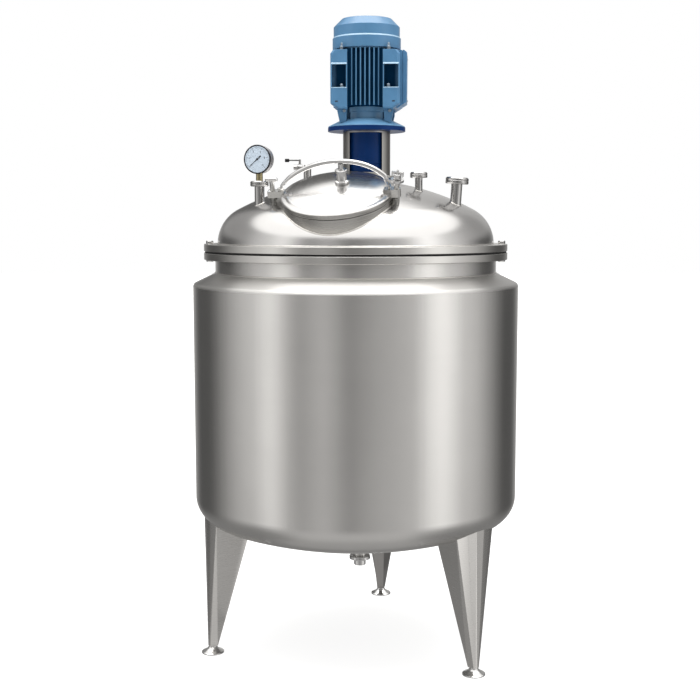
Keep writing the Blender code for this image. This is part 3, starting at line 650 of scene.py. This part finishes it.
def build_jacket():
    """The jacket's wall, its sloped shoulder with a rounded edge, and its dished bottom."""
    skin = JACKET_RADIUS - JACKET_SKIN
    edge = SHOULDER_EDGE_Z
    outline = ring(skin, JACKET_RADIUS, JACKET_SPRING_Z, edge)
    carried_lathe("jacket_wall", outline, SHELL, WIDE, fillet=0.0)
    outline = []
    for k in range(13):
        turn = (math.pi / 2 - SHOULDER_SLOPE) * k / 12
        inward, rise = SHOULDER_BEND * (1 - math.cos(turn)), SHOULDER_BEND * math.sin(turn)
        outline.append((JACKET_RADIUS - inward, edge + rise))
    neck = VESSEL_RADIUS + GAP
    outline += [(neck, SHOULDER_TOP_Z), (neck, SHOULDER_TOP_Z - 0.010)]
    outline += [(JACKET_RADIUS - 0.0115, edge + 0.0085), (skin, edge)]
    carried_lathe("jacket_shoulder", outline, SHOULDER, WIDE, fillet=0.0)
    outer = dished(JACKET_RADIUS, JACKET_CROWN, JACKET_KNUCKLE)
    inner = dished(skin, JACKET_CROWN - JACKET_SKIN, JACKET_KNUCKLE - JACKET_SKIN)
    outline = [(r, JACKET_SPRING_Z - z) for r, z in outer + inner[::-1]]
    carried_lathe("jacket_bottom", outline, SHELL, WIDE, fillet=0.0)


def build_vessel():
    """The vessel's wall above the jacket, and the flanges with their gasket."""
    half = GASKET_THICK / 2
    top = PARTING_Z - half - FLANGE_THICK - GAP
    inside = VESSEL_RADIUS - VESSEL_WALL
    outline = ring(inside, VESSEL_RADIUS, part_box("vessel_wall")[0].z, top - GAP)
    carried_lathe("vessel_wall", outline, SHELL, WIDE, fillet=0.0004)
    outline = ring(inside, FLANGE_RADIUS, top, top + FLANGE_THICK)
    carried_lathe("vessel_flange", outline, BRUSHED, WIDE, fillet=0.0018)
    low = PARTING_Z + half + GAP
    outline = ring(DOME_RADIUS - DOME_WALL, FLANGE_RADIUS, low, low + FLANGE_THICK)
    carried_lathe("dome_flange", outline, BRUSHED, WIDE, fillet=0.0018)
    outline = ring(DOME_RADIUS + 0.004, FLANGE_RADIUS - 0.0035, PARTING_Z - half, PARTING_Z + half)
    carried_lathe("flange_gasket", outline, RUBBER, WIDE, fillet=0.0010)


def build_dome():
    """The dome as a true dished shell with its openings, shaded as the unbroken dish that it is cut from."""
    outer = dished(DOME_RADIUS, DOME_CROWN, DOME_KNUCKLE, 20, 44)
    wall = DOME_WALL
    inner = dished(DOME_RADIUS - wall, DOME_CROWN - wall, DOME_KNUCKLE - wall, 20, 44)
    outline = [(r, DOME_BASE_Z + z) for r, z in outer + inner[::-1]]
    dome = lathe("dome_head_fine", outline, DOME, WIDE)
    opening = ring(0, NECK_RADIUS - 0.002, -0.25, 0.08)
    cutters = [lathe("manway_cut", opening, DOME, MIDDLE, MANWAY)]
    bore = ring(0, 0.035, 1.6, 1.9)
    cutters.append(lathe("shaft_cut", bore, DOME, SMALL, at(DRIVE_X, DRIVE_Y)))
    cut_once(dome, cutters)
    normals = []
    for face in dome.data.polygons:
        for index in face.vertices:
            out = dome_normal(dome.data.vertices[index].co)
            side = face.normal.dot(out)
            normals.append(out if side > 0.9 else -out if side < -0.9 else face.normal.copy())
    dome.data.shade_smooth()
    dome.data.normals_split_custom_set(normals)
    carried(dome, "tank", ("dome_head",))


def on_dome(place, radius, turn):
    """Where a pipe's wall meets the dome, going round its axis by turn: found by halving a span."""
    low, high = -0.25, 0.20
    flat = Vector((radius * math.cos(turn), radius * math.sin(turn), 0))
    for _ in range(40):
        middle = (low + high) / 2
        point = place @ (flat + Vector((0, 0, middle)))
        if point.z > dome_rise(math.hypot(point.x, point.y)):
            high = middle
        else:
            low = middle
    return place @ (flat + Vector((0, 0, low)))


def weld_on_dome(name, place, radius, bead, steps):
    """A rippled weld bead where a pipe stands on the dome."""
    points = []
    for k in range(steps):
        ripple = 1.0 + 0.12 * math.sin(k * 2.6)
        points.append((*on_dome(place, radius, math.tau * k / steps), ripple))
    carried(tube(name, points, bead, WELD, closed=True), "tank")


def weld_round(name, radius, height, bead):
    """A rippled weld bead round the tank's axis."""
    points = []
    for k in range(WIDE):
        turn = math.tau * k / WIDE
        ripple = 1.0 + 0.10 * math.sin(k * 2.6)
        points.append((radius * math.cos(turn), radius * math.sin(turn), height, ripple))
    carried(tube(name, points, bead, WELD, closed=True, sides=8), "tank")


def build_welds():
    weld_on_dome("weld_manway", MANWAY, NECK_RADIUS + 0.0005, 0.0030, 220)
    weld_on_dome("weld_drive_pad", DRIVE @ at(0, 0, 1.72), PAD_RADIUS, 0.0026, 160)
    weld_on_dome("weld_gauge_nozzle", at(*GAUGE_AT, 1.66), 0.0176, 0.0020, 48)
    weld_on_dome("weld_valve_nozzle", at(*VALVE_AT, 1.70), 0.0142, 0.0018, 48)
    weld_on_dome("weld_small_nozzle", at(*SMALL_NOZZLE_AT, 1.70), 0.0135, 0.0018, 48)
    weld_on_dome("weld_large_nozzle", LARGE_NOZZLE, 0.0199, 0.0020, 56)
    weld_round("weld_shoulder", VESSEL_RADIUS + 0.0006, SHOULDER_TOP_Z, 0.0026)
    weld_round("weld_dome_flange", DOME_RADIUS + 0.0006, DOME_BASE_Z + 0.0008, 0.0024)
    weld_round("weld_vessel_flange", VESSEL_RADIUS + 0.0004, 1.4530, 0.0022)


def build_legs():
    """The three legs, the back one in darker steel as painted shade, with fine foot discs under them."""
    for side, (circle, azimuth) in FEET.items():
        finish = SHADED_LEG if side == "back" else LEG
        refined("leg_" + side, finish, 0.0018, sharp=28, segments=3)
        place = turned_about("Z", azimuth) @ at(circle, 0)
        outline = [(0, 0), (0.0410, 0), (0.0410, 0.0045), (0.0385, 0.0065), (0.0290, 0.0100)]
        outline += [(0.0200, 0.0165), (0.0165, 0.0215), (0.0150, 0.0225)]
        outline += [(0.0150, LEG_FOOT_Z - GAP), (0, LEG_FOOT_Z - GAP)]
        carried_lathe("foot_" + side, outline, BRIGHT, MIDDLE, place, 0.0010)


def build_outlet():
    """The bottom outlet: its pipe, the clamp round its end and the cap below."""
    place, end = at(OUTLET_X, 0), OUTLET_END_Z
    outline = [(0, end - 0.015), (0.0372, end - 0.015), (0.040, end - 0.0125), (0.040, end - 0.0085)]
    outline += [(0.0385, end - 0.0075), (0.040, end - 0.0065), (0.040, end - 0.003)]
    outline += [(0.0372, end - GAP), (0, end - GAP)]
    carried_lathe("outlet_clamp", outline, BRIGHT, MIDDLE, place, 0.0006)
    top = end - 0.015 - GAP
    outline = [(0, OUTLET_LOW_Z), (0.0203, OUTLET_LOW_Z), (0.0223, OUTLET_LOW_Z + 0.002)]
    outline += [(0.0223, top), (0, top)]
    carried_lathe("outlet_cap", outline, BRIGHT, SMALL, place, 0.0008)
    low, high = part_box("outlet_pipe")
    outline = ring(0.022, 0.025, low.z, high.z)
    carried_lathe("outlet_pipe", outline, BRUSHED, SMALL, place, 0.0005)


def lid_outline():
    """The lid's outer face, from the middle of its crown down to the foot of its skirt."""
    radius = (LID_CROWN_EDGE**2 + LID_CROWN_RISE**2) / (2 * LID_CROWN_RISE)
    points = []
    for k in range(21):
        r = LID_CROWN_EDGE * k / 20
        points.append((r, LID_CROWN_HEIGHT - radius + math.sqrt(radius**2 - r * r)))
    points += [(0.1760, 0.0012), (LID_RADIUS - 0.0035, 0.0), (LID_RADIUS, -0.0035)]
    skirt = LID_RADIUS - 0.0014
    return points + [(LID_RADIUS, -0.0048), (skirt, -0.0048), (skirt, -LID_SKIRT)]


def build_lid():
    """The manway's lid with the ring round its skirt, and its boss."""
    outer = lid_outline()
    inner = [(LID_RADIUS - 0.015, -LID_SKIRT), (LID_RADIUS - 0.015, -0.008)]
    inner += [(r, z - LID_PLATE) for r, z in outer[20::-1]]
    carried_lathe("manway_lid", outer + inner, DOME, LID_FACETS, MANWAY, 0.0012)
    outline = ring(LID_RADIUS - 0.0013, LID_RADIUS, -LID_SKIRT, -0.0050)
    skirt = lathe("lid_skirt", outline, NECK_STEEL, LID_FACETS, MANWAY, 0.0004)
    carried(skirt, "manway_lid")
    top = ARCH_TOP - ARCH_ROD - 2 * GAP
    outline = [(0, 0.0345), (0.0252, 0.0345), (0.0252, 0.0425), (0.0175, 0.0445), (0.0175, 0.0715)]
    outline += [(0.0212, 0.0735), (0.0212, 0.0800), (0.0190, 0.0820), (0.0086, 0.0822)]
    outline += [(0.0086, top), (0, top)]
    boss = MANWAY @ at(ARCH_X + 0.004, 0)
    carried_lathe("lid_boss", outline, BRIGHT, SMALL, boss, 0.0010)


def build_manway_neck():
    """The neck that the lid shuts on, and the gasket on its rim."""
    rim = -LID_SKIRT - 2 * GAP - MANWAY_GASKET_THICK
    outline = ring(NECK_RADIUS - NECK_WALL, NECK_RADIUS, NECK_LOW, rim)
    carried_lathe("manway_neck", outline, NECK_STEEL, LID_FACETS, MANWAY, 0.0010)
    low = rim + GAP
    outline = ring(NECK_RADIUS - 0.0072, NECK_RADIUS - 0.0012, low, low + MANWAY_GASKET_THICK)
    carried_lathe("manway_gasket", outline, RUBBER, LID_FACETS, MANWAY, 0.0008)


def arch_line():
    """Middle line of the lifting bar, thinned towards its nut on the pivot lug."""
    height = ARCH_TOP - ARCH_BASE
    points = []
    for k in range(121):
        turn = math.pi * (1 - k / 120)
        left = turn > math.pi / 2
        reach, power = ARCH_LEFT if left else ARCH_RIGHT
        x = math.copysign(reach * abs(math.cos(turn)) ** (2 / power), math.cos(turn))
        z = ARCH_BASE + height * math.sin(turn) ** (2 / power)
        if z > (ARCH_NUT if left else CLAMP_PLATE_TOP) + 0.006:
            share = min(1.0, max(0.0, (z - ARCH_NUT) / 0.040)) if left else 1.0
            points.append((ARCH_X + x, 0, z, ARCH_THIN + (1 - ARCH_THIN) * share))
    first, last = points[0][0] - 0.001, points[-1][0] + 0.002
    lead = [(first, 0, ARCH_NUT + GAP, ARCH_THIN), (first, 0, ARCH_NUT + 0.0025, ARCH_THIN)]
    tail = [(last, 0, CLAMP_PLATE_TOP + 0.0025, 1.0), (last, 0, CLAMP_PLATE_TOP + GAP, 1.0)]
    return lead + points + tail


def build_manway_hardware():
    """The lifting arch, the pivot and clamp at the lid's sides, and the clamp's stud; the barrels and the
    stud in darker steel as painted shade.
    """
    arch = tube("lifting_arch_fine", arch_line(), ARCH_ROD, BRIGHT, MANWAY, sides=20)
    carried(arch, "manway_lid", ("lifting_arch",))
    for node in ("pivot_barrel", "clamp_barrel"):
        refined(node, SHADED_STEEL, 0.0009)
    for node in ("pivot_lug", "clamp_lug"):
        refined(node, BRUSHED, 0.0009)
    for node in ("pivot_pin", "pivot_knob", "clamp_plate", "wing_screw"):
        refined(node, BRIGHT, 0.0006)
    outline = [(0, 0.0122), (0.0045, 0.0122), (0.0045, 0.0160), (0.0024, 0.0166)]
    outline += [(0.0024, 0.0374), (0, 0.0374)]
    stud = lathe("clamp_stud", outline, SHADED_STEEL, SMALL, MANWAY @ at(0.1835, -0.004), 0.0004)
    carried(stud, "manway_lid")


def build_gauge():
    """The pressure gauge on its nozzle: clamp, stem, case, black bezel and dial."""
    case = [(0, -0.021), (0.0465, -0.021), (0.0480, -0.018), (0.0480, 0.0128), (0.0460, 0.0129)]
    case += [(0.0460, 0.0165), (0, 0.0165)]
    carried_lathe("gauge_case", case, CASE_STEEL, MIDDLE, GAUGE, 0.0009)
    bezel = [(0.0462, 0.0130), (0.0490, 0.0130), (0.0508, 0.0150), (0.0508, 0.0192), (0.0495, 0.0210)]
    bezel += [(0.0472, 0.0210), (0.0462, 0.0188)]
    carried(lathe("gauge_bezel", bezel, BLACK_STEEL, MIDDLE, GAUGE, 0.0006), "tank")
    face = ring(0, 0.0467, 0.0165 + GAP, DIAL_FACE)
    carried_lathe("gauge_dial", face, DIAL, MIDDLE, GAUGE, 0.0002)
    outline = [(0, 1.7140 + GAP), (0.0290, 1.7140 + GAP), (0.0324, 1.7175), (0.0324, 1.7222)]
    outline += [(0.0310, 1.7235), (0.0324, 1.7248), (0.0324, 1.7295), (0.0290, 1.7330), (0, 1.7330)]
    place = at(*GAUGE_AT)
    carried_lathe("gauge_clamp", outline, PIPE_STEEL, MIDDLE, place, 0.0006)
    refined("gauge_nozzle", PIPE_STEEL, 0.0004)
    refined("gauge_stem", BRASS, 0.0006)
    build_dial_scale()
    build_dial_numbers()
    build_pointer()


def add_mark(bm, angle, inner, half):
    """A raised mark on the dial, pointing to its middle."""
    low, high = DIAL_FACE + 0.0001, DIAL_FACE + 0.0003
    out = Vector((math.cos(angle), math.sin(angle), 0))
    side = Vector((-out.y, out.x, 0)) * half
    corners = [out * inner - side, out * 0.0425 - side, out * 0.0425 + side, out * inner + side]
    base = [bm.verts.new(c + Vector((0, 0, low))) for c in corners]
    top = [bm.verts.new(c + Vector((0, 0, high))) for c in corners]
    bm.faces.new(top)
    bm.faces.new(base[::-1])
    for a in range(4):
        b = (a + 1) % 4
        bm.faces.new((base[a], base[b], top[b], top[a]))


def build_dial_scale():
    """51 marks over three quarters of a turn: every tenth long and thick, every fifth a little longer."""
    bm = bmesh.new()
    for k in range(51):
        long_mark = k % 10 == 0
        inner = 0.0345 if long_mark else 0.0385 if k % 5 == 0 else 0.0400
        add_mark(bm, math.radians(225 - 270 * k / 50), inner, 0.00055 if long_mark else 0.00028)
    carried(new_piece("dial_scale", bm, INK, GAUGE), "tank")


def build_dial_numbers():
    for k in range(6):
        angle = math.radians(225 - 54 * k)
        spot = GAUGE @ at(0.0285 * math.cos(angle), 0.0285 * math.sin(angle), DIAL_FACE + 0.0003)
        carried(number_piece("dial_number_%d" % (2 * k), str(2 * k), 0.0085, spot), "tank")


def build_pointer():
    """The pointer and its hub over the dial, and the glass over both."""
    outline = [(0.0400, 0.0004), (0.0, 0.0016), (-0.0180, 0.0025)]
    outline += [(x, -y) for x, y in outline[::-1]]
    pointer = GAUGE @ turned_about("Z", 220)
    needle = flat_piece("dial_pointer", outline, 0.0192, 0.0197, INK, pointer)
    carried(needle, "tank")
    hub = [(0, 0.0186), (0.0042, 0.0186), (0.0042, 0.0198), (0.0030, 0.0203), (0, 0.0205)]
    carried(lathe("dial_hub", hub, INK, SMALL, GAUGE, 0.0003), "tank")
    carried(lathe("dial_glass", ring(0, 0.0469, 0.0206, 0.0209), GLASS, MIDDLE, GAUGE), "tank")


def build_valve():
    """The sampling valve behind the manway, and the black sleeve on its lever."""
    refined("valve_nozzle", PIPE_STEEL, 0.0006)
    refined("valve_body", PIPE_STEEL, 0.0006)
    refined("valve_lever", PIPE_STEEL, 0.0006)
    grip_z = VALVE_Z + 0.0135 + GAP + 0.012
    grip = at(VALVE_STEM_X - 0.047, VALVE_AT[1], grip_z) @ turned_about("Y", 90)
    outline = [(0, -0.0079), (0.0050, -0.0079), (0.0062, -0.0062)]
    outline += [(r, -z) for r, z in outline[::-1]]
    carried(lathe("lever_sleeve", outline, RUBBER, SMALL, grip, 0.0008), "valve_lever")


def build_nozzles():
    """The two capped nozzles on the dome's right side."""
    refined("small_nozzle", PIPE_STEEL, 0.0003)
    refined("large_nozzle", PIPE_STEEL, 0.0003)
    low, high = 1.7460 + GAP, 1.7660
    outline = [(0, low), (0.0290, low), (0.0308, low + 0.0022), (0.0308, low + 0.0085)]
    outline += [(0.0299, low + 0.0098), (0.0308, low + 0.0110), (0.0308, high - 0.0040)]
    outline += [(0.0275, high), (0, high)]
    place = at(*SMALL_NOZZLE_AT)
    carried_lathe("small_nozzle_cap", outline, PIPE_STEEL, MIDDLE, place, 0.0008)
    low, place = 0.0715 + GAP, LARGE_NOZZLE
    outline = [(0, low), (0.0390, low), (0.0410, 0.0740), (0.0410, 0.0822), (0.0398, 0.0835)]
    outline += [(0.0410, 0.0848), (0.0410, 0.0905), (0.0370, 0.0950), (0.0080, 0.0955)]
    outline += [(0.0060, 0.0985), (0, 0.0985)]
    carried_lathe("large_nozzle_cap", outline, PIPE_STEEL, MIDDLE, place, 0.0009)


def build_drive():
    """Everything that stands on the dome behind the manway, from the pad up to the fan's cover."""
    outline = ring(SHAFT_BORE, PAD_RADIUS, 1.70, PAD_TOP_Z - GAP)
    carried_lathe("drive_pad", outline, BRUSHED, MIDDLE, DRIVE, 0.0015)
    refined("lantern", LANTERN_STEEL, 0.0008)
    core = LANTERN_RADIUS - 0.0135
    low, high = PAD_TOP_Z + 0.0005, LANTERN_TOP_Z - GAP
    outline = [(0, low), (core, low), (core, low + 0.040), (core - 0.0015, low + 0.0412)]
    outline += [(core - 0.0015, low + 0.0432), (core, low + 0.0444), (core, high), (0, high)]
    carried_lathe("coupling_housing", outline, DEEP_BLUE, MIDDLE, DRIVE, 0.0008)
    build_motor_foot()
    refined("motor_frame", FRAME_BLUE, 0.0012, place=DRIVE)
    build_terminal_box()
    build_fan_cover()
    for k, (right, front) in enumerate([(r, f) for r in (-1, 1) for f in (-1, 1)]):
        build_motor_corner(k, right, front)
    for side in (-1, 1):
        build_motor_side(side)


def build_motor_foot():
    """The motor's flange with its rim in deep blue as painted shade, and the cone that rises from its rim and
    the neck in a paler copy of the motor's paint as painted light.
    """
    edge, paint_z, top = MOTOR_FLANGE_RADIUS, FLANGE_PAINT_Z, MOTOR_NECK_Z - GAP
    outline = ring(0, edge, LANTERN_TOP_Z + GAP, paint_z)
    # The rim's deep blue is painted shade
    carried_lathe("motor_flange", outline, DEEP_BLUE, MIDDLE, DRIVE, 0.0012)
    outline = [(0, paint_z), (edge - 0.0008, paint_z), (edge - 0.0010, MOTOR_RIM_TOP_Z - 0.0020)]
    outline += [(edge - 0.0030, MOTOR_RIM_TOP_Z - 0.0002), (0.0922, top - 0.0002), (0, top - 0.0002)]
    carried(lathe("flange_cone", outline, PAINTED_LIT_BLUE, MIDDLE, DRIVE, 0.0016), "tank")
    outline = [(0, MOTOR_NECK_Z), (0.0610, MOTOR_NECK_Z), (0.0610, 1.9930), (0.0595, 1.9945)]
    outline += [(0.0640, 1.9960), (0.0640, MOTOR_BODY_Z - GAP), (0, MOTOR_BODY_Z - GAP)]
    carried_lathe("motor_neck", outline, PAINTED_LIT_BLUE, MIDDLE, DRIVE, 0.0012)


def build_terminal_box():
    """The box on the motor's right side: its body, a shadow gap and its lid, held by four screws."""
    upright = DRIVE @ turned_about("X", 90)
    body = [(0.0983, 2.0060), (0.1180, 2.0060), (0.1335, 2.0167), (0.1335, 2.2150), (0.0983, 2.2150)]
    seam = [(0.1330, 2.0190), (0.1356, 2.0200), (0.1356, 2.2125), (0.1330, 2.2125)]
    lid = [(0.1352, 2.0180), (0.1500, 2.0280), (0.1510, 2.2060), (0.1400, 2.2150), (0.1352, 2.2150)]
    for name, outline, half in (("body", body, 0.064), ("seam", seam, 0.0622), ("lid", lid, 0.064)):
        piece = flat_piece("terminal_" + name, outline, -half, half, LIGHT_BLUE, upright)
        softened(piece, 0.0016)
        carried(piece, "tank", ("terminal_box",) if name == "body" else ())
    for k, (y, z) in enumerate([(y, z) for y in (-0.050, 0.050) for z in (2.0420, 2.1950)]):
        place = DRIVE @ at(0.1503, y, z) @ turned_about("Y", 90)
        carried(hexagon("terminal_screw_%d" % k, 0.008, 0.0, 0.0018, BRIGHT, place), "tank")


def build_fan_cover():
    """The fan's cap, with ring slots in its top for the air, and a paler ring on its ridge as a painted
    highlight.
    """
    low = MOTOR_BODY_TOP_Z + GAP
    outline = [(0, low), (0.1120, low), (0.1120, FAN_COVER_Z), (0.1265, FAN_COVER_Z)]
    outline += [(0.1265, 2.2622), (0.1225, 2.2660), (0.1225, 2.3035), (0.0925, FAN_COVER_TOP_Z)]
    top, deep = FAN_COVER_TOP_Z, FAN_COVER_TOP_Z - 0.0040
    for reach in (0.0800, 0.0640, 0.0480, 0.0320):
        outline += [(reach, top), (reach, deep), (reach - 0.0080, deep), (reach - 0.0080, top)]
    outline += [(0, top)]
    carried_lathe("fan_cover", outline, LIGHT_BLUE, MIDDLE, DRIVE, 0.0012)
    ridge = [(0.1224, 2.2650), (0.1264, 2.2612), (0.1270, 2.2618), (0.1234, 2.2668), (0.1224, 2.2676)]
    carried(lathe("cover_ridge", ridge, HIGHLIGHT_BLUE, MIDDLE, DRIVE, 0.0003), "tank")


def build_motor_corner(k, right, front):
    """A corner's bolts, above the frame, in its pocket and on its foot, and the lips of its pocket in paler
    paint as painted highlights.
    """
    over = DRIVE @ at(0.085 * right, 0.110 * front)
    carried(hexagon("cover_bolt_%d" % k, 0.0125, 2.2098, 2.2230, BOLT, over), "tank")
    outline = ring(0, 0.0036, 2.2200, 2.2350)
    carried(lathe("cover_stud_%d" % k, outline, BOLT, SMALL, over, 0.0010), "tank")
    carried(hexagon("pocket_bolt_%d" % k, 0.0140, 2.0755, 2.0880, BOLT, over), "tank")
    outward = DRIVE @ turned_about("Z", 0 if front < 0 else 180)
    foot = outward @ at(0.0895 if right > 0 else -0.0765, -0.1016, 1.9930) @ turned_about("X", 90)
    carried(hexagon("foot_screw_%d" % k, 0.0110, 0.0, 0.0046, BOLT, foot), "tank")
    lip_end = 0.1225 if right > 0 else -0.0655
    sideways = Matrix(((0, 0, -1, lip_end), (-1, 0, 0, 0), (0, 1, 0, 0), (0, 0, 0, 1)))
    for name, outline in (("upper", UPPER_LIP), ("lower", LOWER_LIP)):
        place = outward @ sideways
        lip = flat_piece("%s_lip_%d" % (name, k), outline, 0.0, LIP_LENGTH, HIGHLIGHT_BLUE, place)
        carried(softened(lip, 0.0006), "tank")


def build_motor_side(side):
    """A rib beside the motor's neck in dark paint as painted shade, and a thin dark sheet low in the frame's
    front, painted as the shade of a slot.
    """
    upright = DRIVE @ turned_about("X", 90)
    outline = ring(0.0590 * side, 0.0760 * side, MOTOR_NECK_Z + 0.001, 2.0110)
    rib = flat_piece("neck_rib_%d" % (side + 1), outline, -0.0030, 0.0030, SHADE_BLUE, upright)
    carried(softened(rib, 0.0008), "tank")
    place = DRIVE @ at(0.1035 * side, -0.1250, 2.0256) @ turned_about("X", 90)
    half = [(-0.0055, -0.0013), (-0.0038, -0.0022), (0.0038, -0.0022), (0.0055, -0.0013)]
    outline = half + [(-x, -y) for x, y in half]
    # A thin black sheet: the painted shade of a slot
    slot = flat_piece("frame_slot_%d" % (side + 1), outline, 0.0, 0.0003, INK, place)
    carried(slot, "tank")


def build_inside():
    """Pieces that show only through the open manway."""
    refined("vessel_bottom", SHELL, 0.0)
    refined("agitator_shaft", BRIGHT, 0.0005)
    refined("paddle", BRUSHED, 0.0008)


def build_flange_bolts():
    """A bolt and its nut at either side of the dome's flange."""
    top = DOME_BASE_Z + GAP
    under = PARTING_Z - GASKET_THICK / 2 - FLANGE_THICK - 2 * GAP
    for side, azimuth in (("left", 180), ("right", 0)):
        place = turned_about("Z", azimuth) @ at(FLANGE_BOLT_CIRCLE, 0)
        carried(hexagon("flange_bolt_" + side, 0.024, top, top + 0.0105, BRIGHT, place), "tank")
        place = place @ turned_about("X", 180)
        carried(hexagon("flange_nut_" + side, 0.024, -under, 0.0105 - under, BRIGHT, place), "tank")


def horizon_level(tree, x, y, z):
    """Light from the sides: the strips, a light behind the tank, and a band behind its flanks."""
    bearing = maths(tree, "ARCTAN2", x, maths(tree, "MULTIPLY", y, -1.0))
    level = AMBIENT
    for centre, half, strength in STRIPS:
        away = maths(tree, "SUBTRACT", bearing, math.radians(centre))
        strip = faded(tree, maths(tree, "ABSOLUTE", away), math.radians(half), 0.0, 0.0, strength)
        level = maths(tree, "ADD", strip, level)
    turned = maths(tree, "ABSOLUTE", bearing)
    back = faded(tree, turned, math.radians(140), math.radians(180), 0.0, BACK_LEVEL)
    kept = maths(tree, "MAXIMUM", faded(tree, z, 0.15, 0.06), faded(tree, x, 0.02, 0.10))
    level = maths(tree, "MULTIPLY_ADD", back, kept, level)
    flank = faded(tree, turned, math.radians(95), math.radians(125), 0.0, FLANK_LEVEL)
    flank = maths(tree, "MULTIPLY", flank, faded(tree, turned, math.radians(168), math.radians(150)))
    level = maths(tree, "MULTIPLY_ADD", flank, faded(tree, z, 0.05, 0.20), level)
    return level, turned


def inside_disc(tree, across, along, radius):
    """1 inside a light on a plane overhead, 0 outside it, with a soft rim."""
    squares = maths(tree, "MULTIPLY_ADD", across, across, maths(tree, "MULTIPLY", along, along))
    return faded(tree, maths(tree, "SQRT", squares), radius + DISC_BLUR, radius - DISC_BLUR)


def studio_level(tree):
    """How bright the studio is in each direction."""
    direction = add_node(tree, "ShaderNodeTexCoord").outputs["Generated"]
    x, y, z = add_node(tree, "ShaderNodeSeparateXYZ", Vector=direction).outputs
    level, turned = horizon_level(tree, x, y, z)
    height = maths(tree, "MAXIMUM", z, 0.02)
    across = maths(tree, "DIVIDE", maths(tree, "MULTIPLY", x, 1 / OVERHEAD_WIDTH), height)
    along = maths(tree, "DIVIDE", y, height)
    disc = inside_disc(tree, across, maths(tree, "ADD", along, OVERHEAD_SHIFT), OVERHEAD_RADIUS)
    level = lerped(tree, disc, level, OVERHEAD_LEVEL)
    level = lerped(tree, inside_disc(tree, across, along, ZENITH_RADIUS), level, ZENITH_LEVEL)
    aside = faded(tree, turned, math.radians(35), math.radians(80))
    floor = lerped(tree, aside, FLOOR_FRONT, FLOOR_SIDE)
    floor = lerped(tree, faded(tree, z, -0.80, -0.95), floor, UNDER_LEVEL)
    return lerped(tree, faded(tree, z, -0.22, -0.50), level, floor)


def build_studio():
    """Light from the world, in the steel's reflections. The camera itself sees plain white."""
    world = bpy.data.worlds.new("studio")
    world.use_nodes = True
    tree = world.node_tree
    tree.nodes.clear()
    level = studio_level(tree)
    studio = add_node(tree, "ShaderNodeBackground", Color=(1, 0.99, 0.975, 1), Strength=level)
    white = add_node(tree, "ShaderNodeBackground", Color=(1, 1, 1, 1), Strength=1.0)
    seen = add_node(tree, "ShaderNodeLightPath").outputs["Is Camera Ray"]
    mixed = add_node(tree, "ShaderNodeMixShader", Fac=seen, _1=studio.outputs[0], _2=white.outputs[0])
    world_out = add_node(tree, "ShaderNodeOutputWorld")
    tree.links.new(mixed.outputs[0], world_out.inputs[0])
    bpy.context.scene.world = world


def build_floor():
    """A pale floor that takes the tank's soft shadow and isn't mirrored in the steel."""
    finish, tree, shader = new_finish("floor")
    feed(tree, shader, Base_Color=(0.30, 0.30, 0.30, 1), Roughness=0.8)
    feed(tree, shader, Emission_Color=(1, 1, 1, 1), Emission_Strength=0.80)
    bm = bmesh.new()
    corners = [bm.verts.new((x, y, 0)) for x, y in ((-30, -30), (30, -30), (30, 30), (-30, 30))]
    bm.faces.new(corners)
    floor = new_piece("floor", bm, finish)
    floor.visible_glossy = False


def build_camera():
    """The camera where the photograph was taken from, fitted to the jacket, the flange and the feet."""
    lens = bpy.data.cameras.new("camera")
    lens.sensor_width = 36
    lens.lens = CAMERA_LENS
    lens.shift_x = CAMERA_SHIFT
    camera = linked("camera", lens)
    camera.location = CAMERA_AT
    camera.rotation_euler = (math.pi / 2 - CAMERA_TILT, 0, 0)
    bpy.context.scene.camera = camera


bpy.context.scene.view_settings.view_transform = "Standard"
build_studio()
build_floor()
build_camera()
build_jacket()
build_vessel()
build_dome()
build_welds()
build_legs()
build_outlet()
build_lid()
build_manway_neck()
build_manway_hardware()
build_gauge()
build_valve()
build_nozzles()
build_drive()
build_inside()
build_flange_bolts()
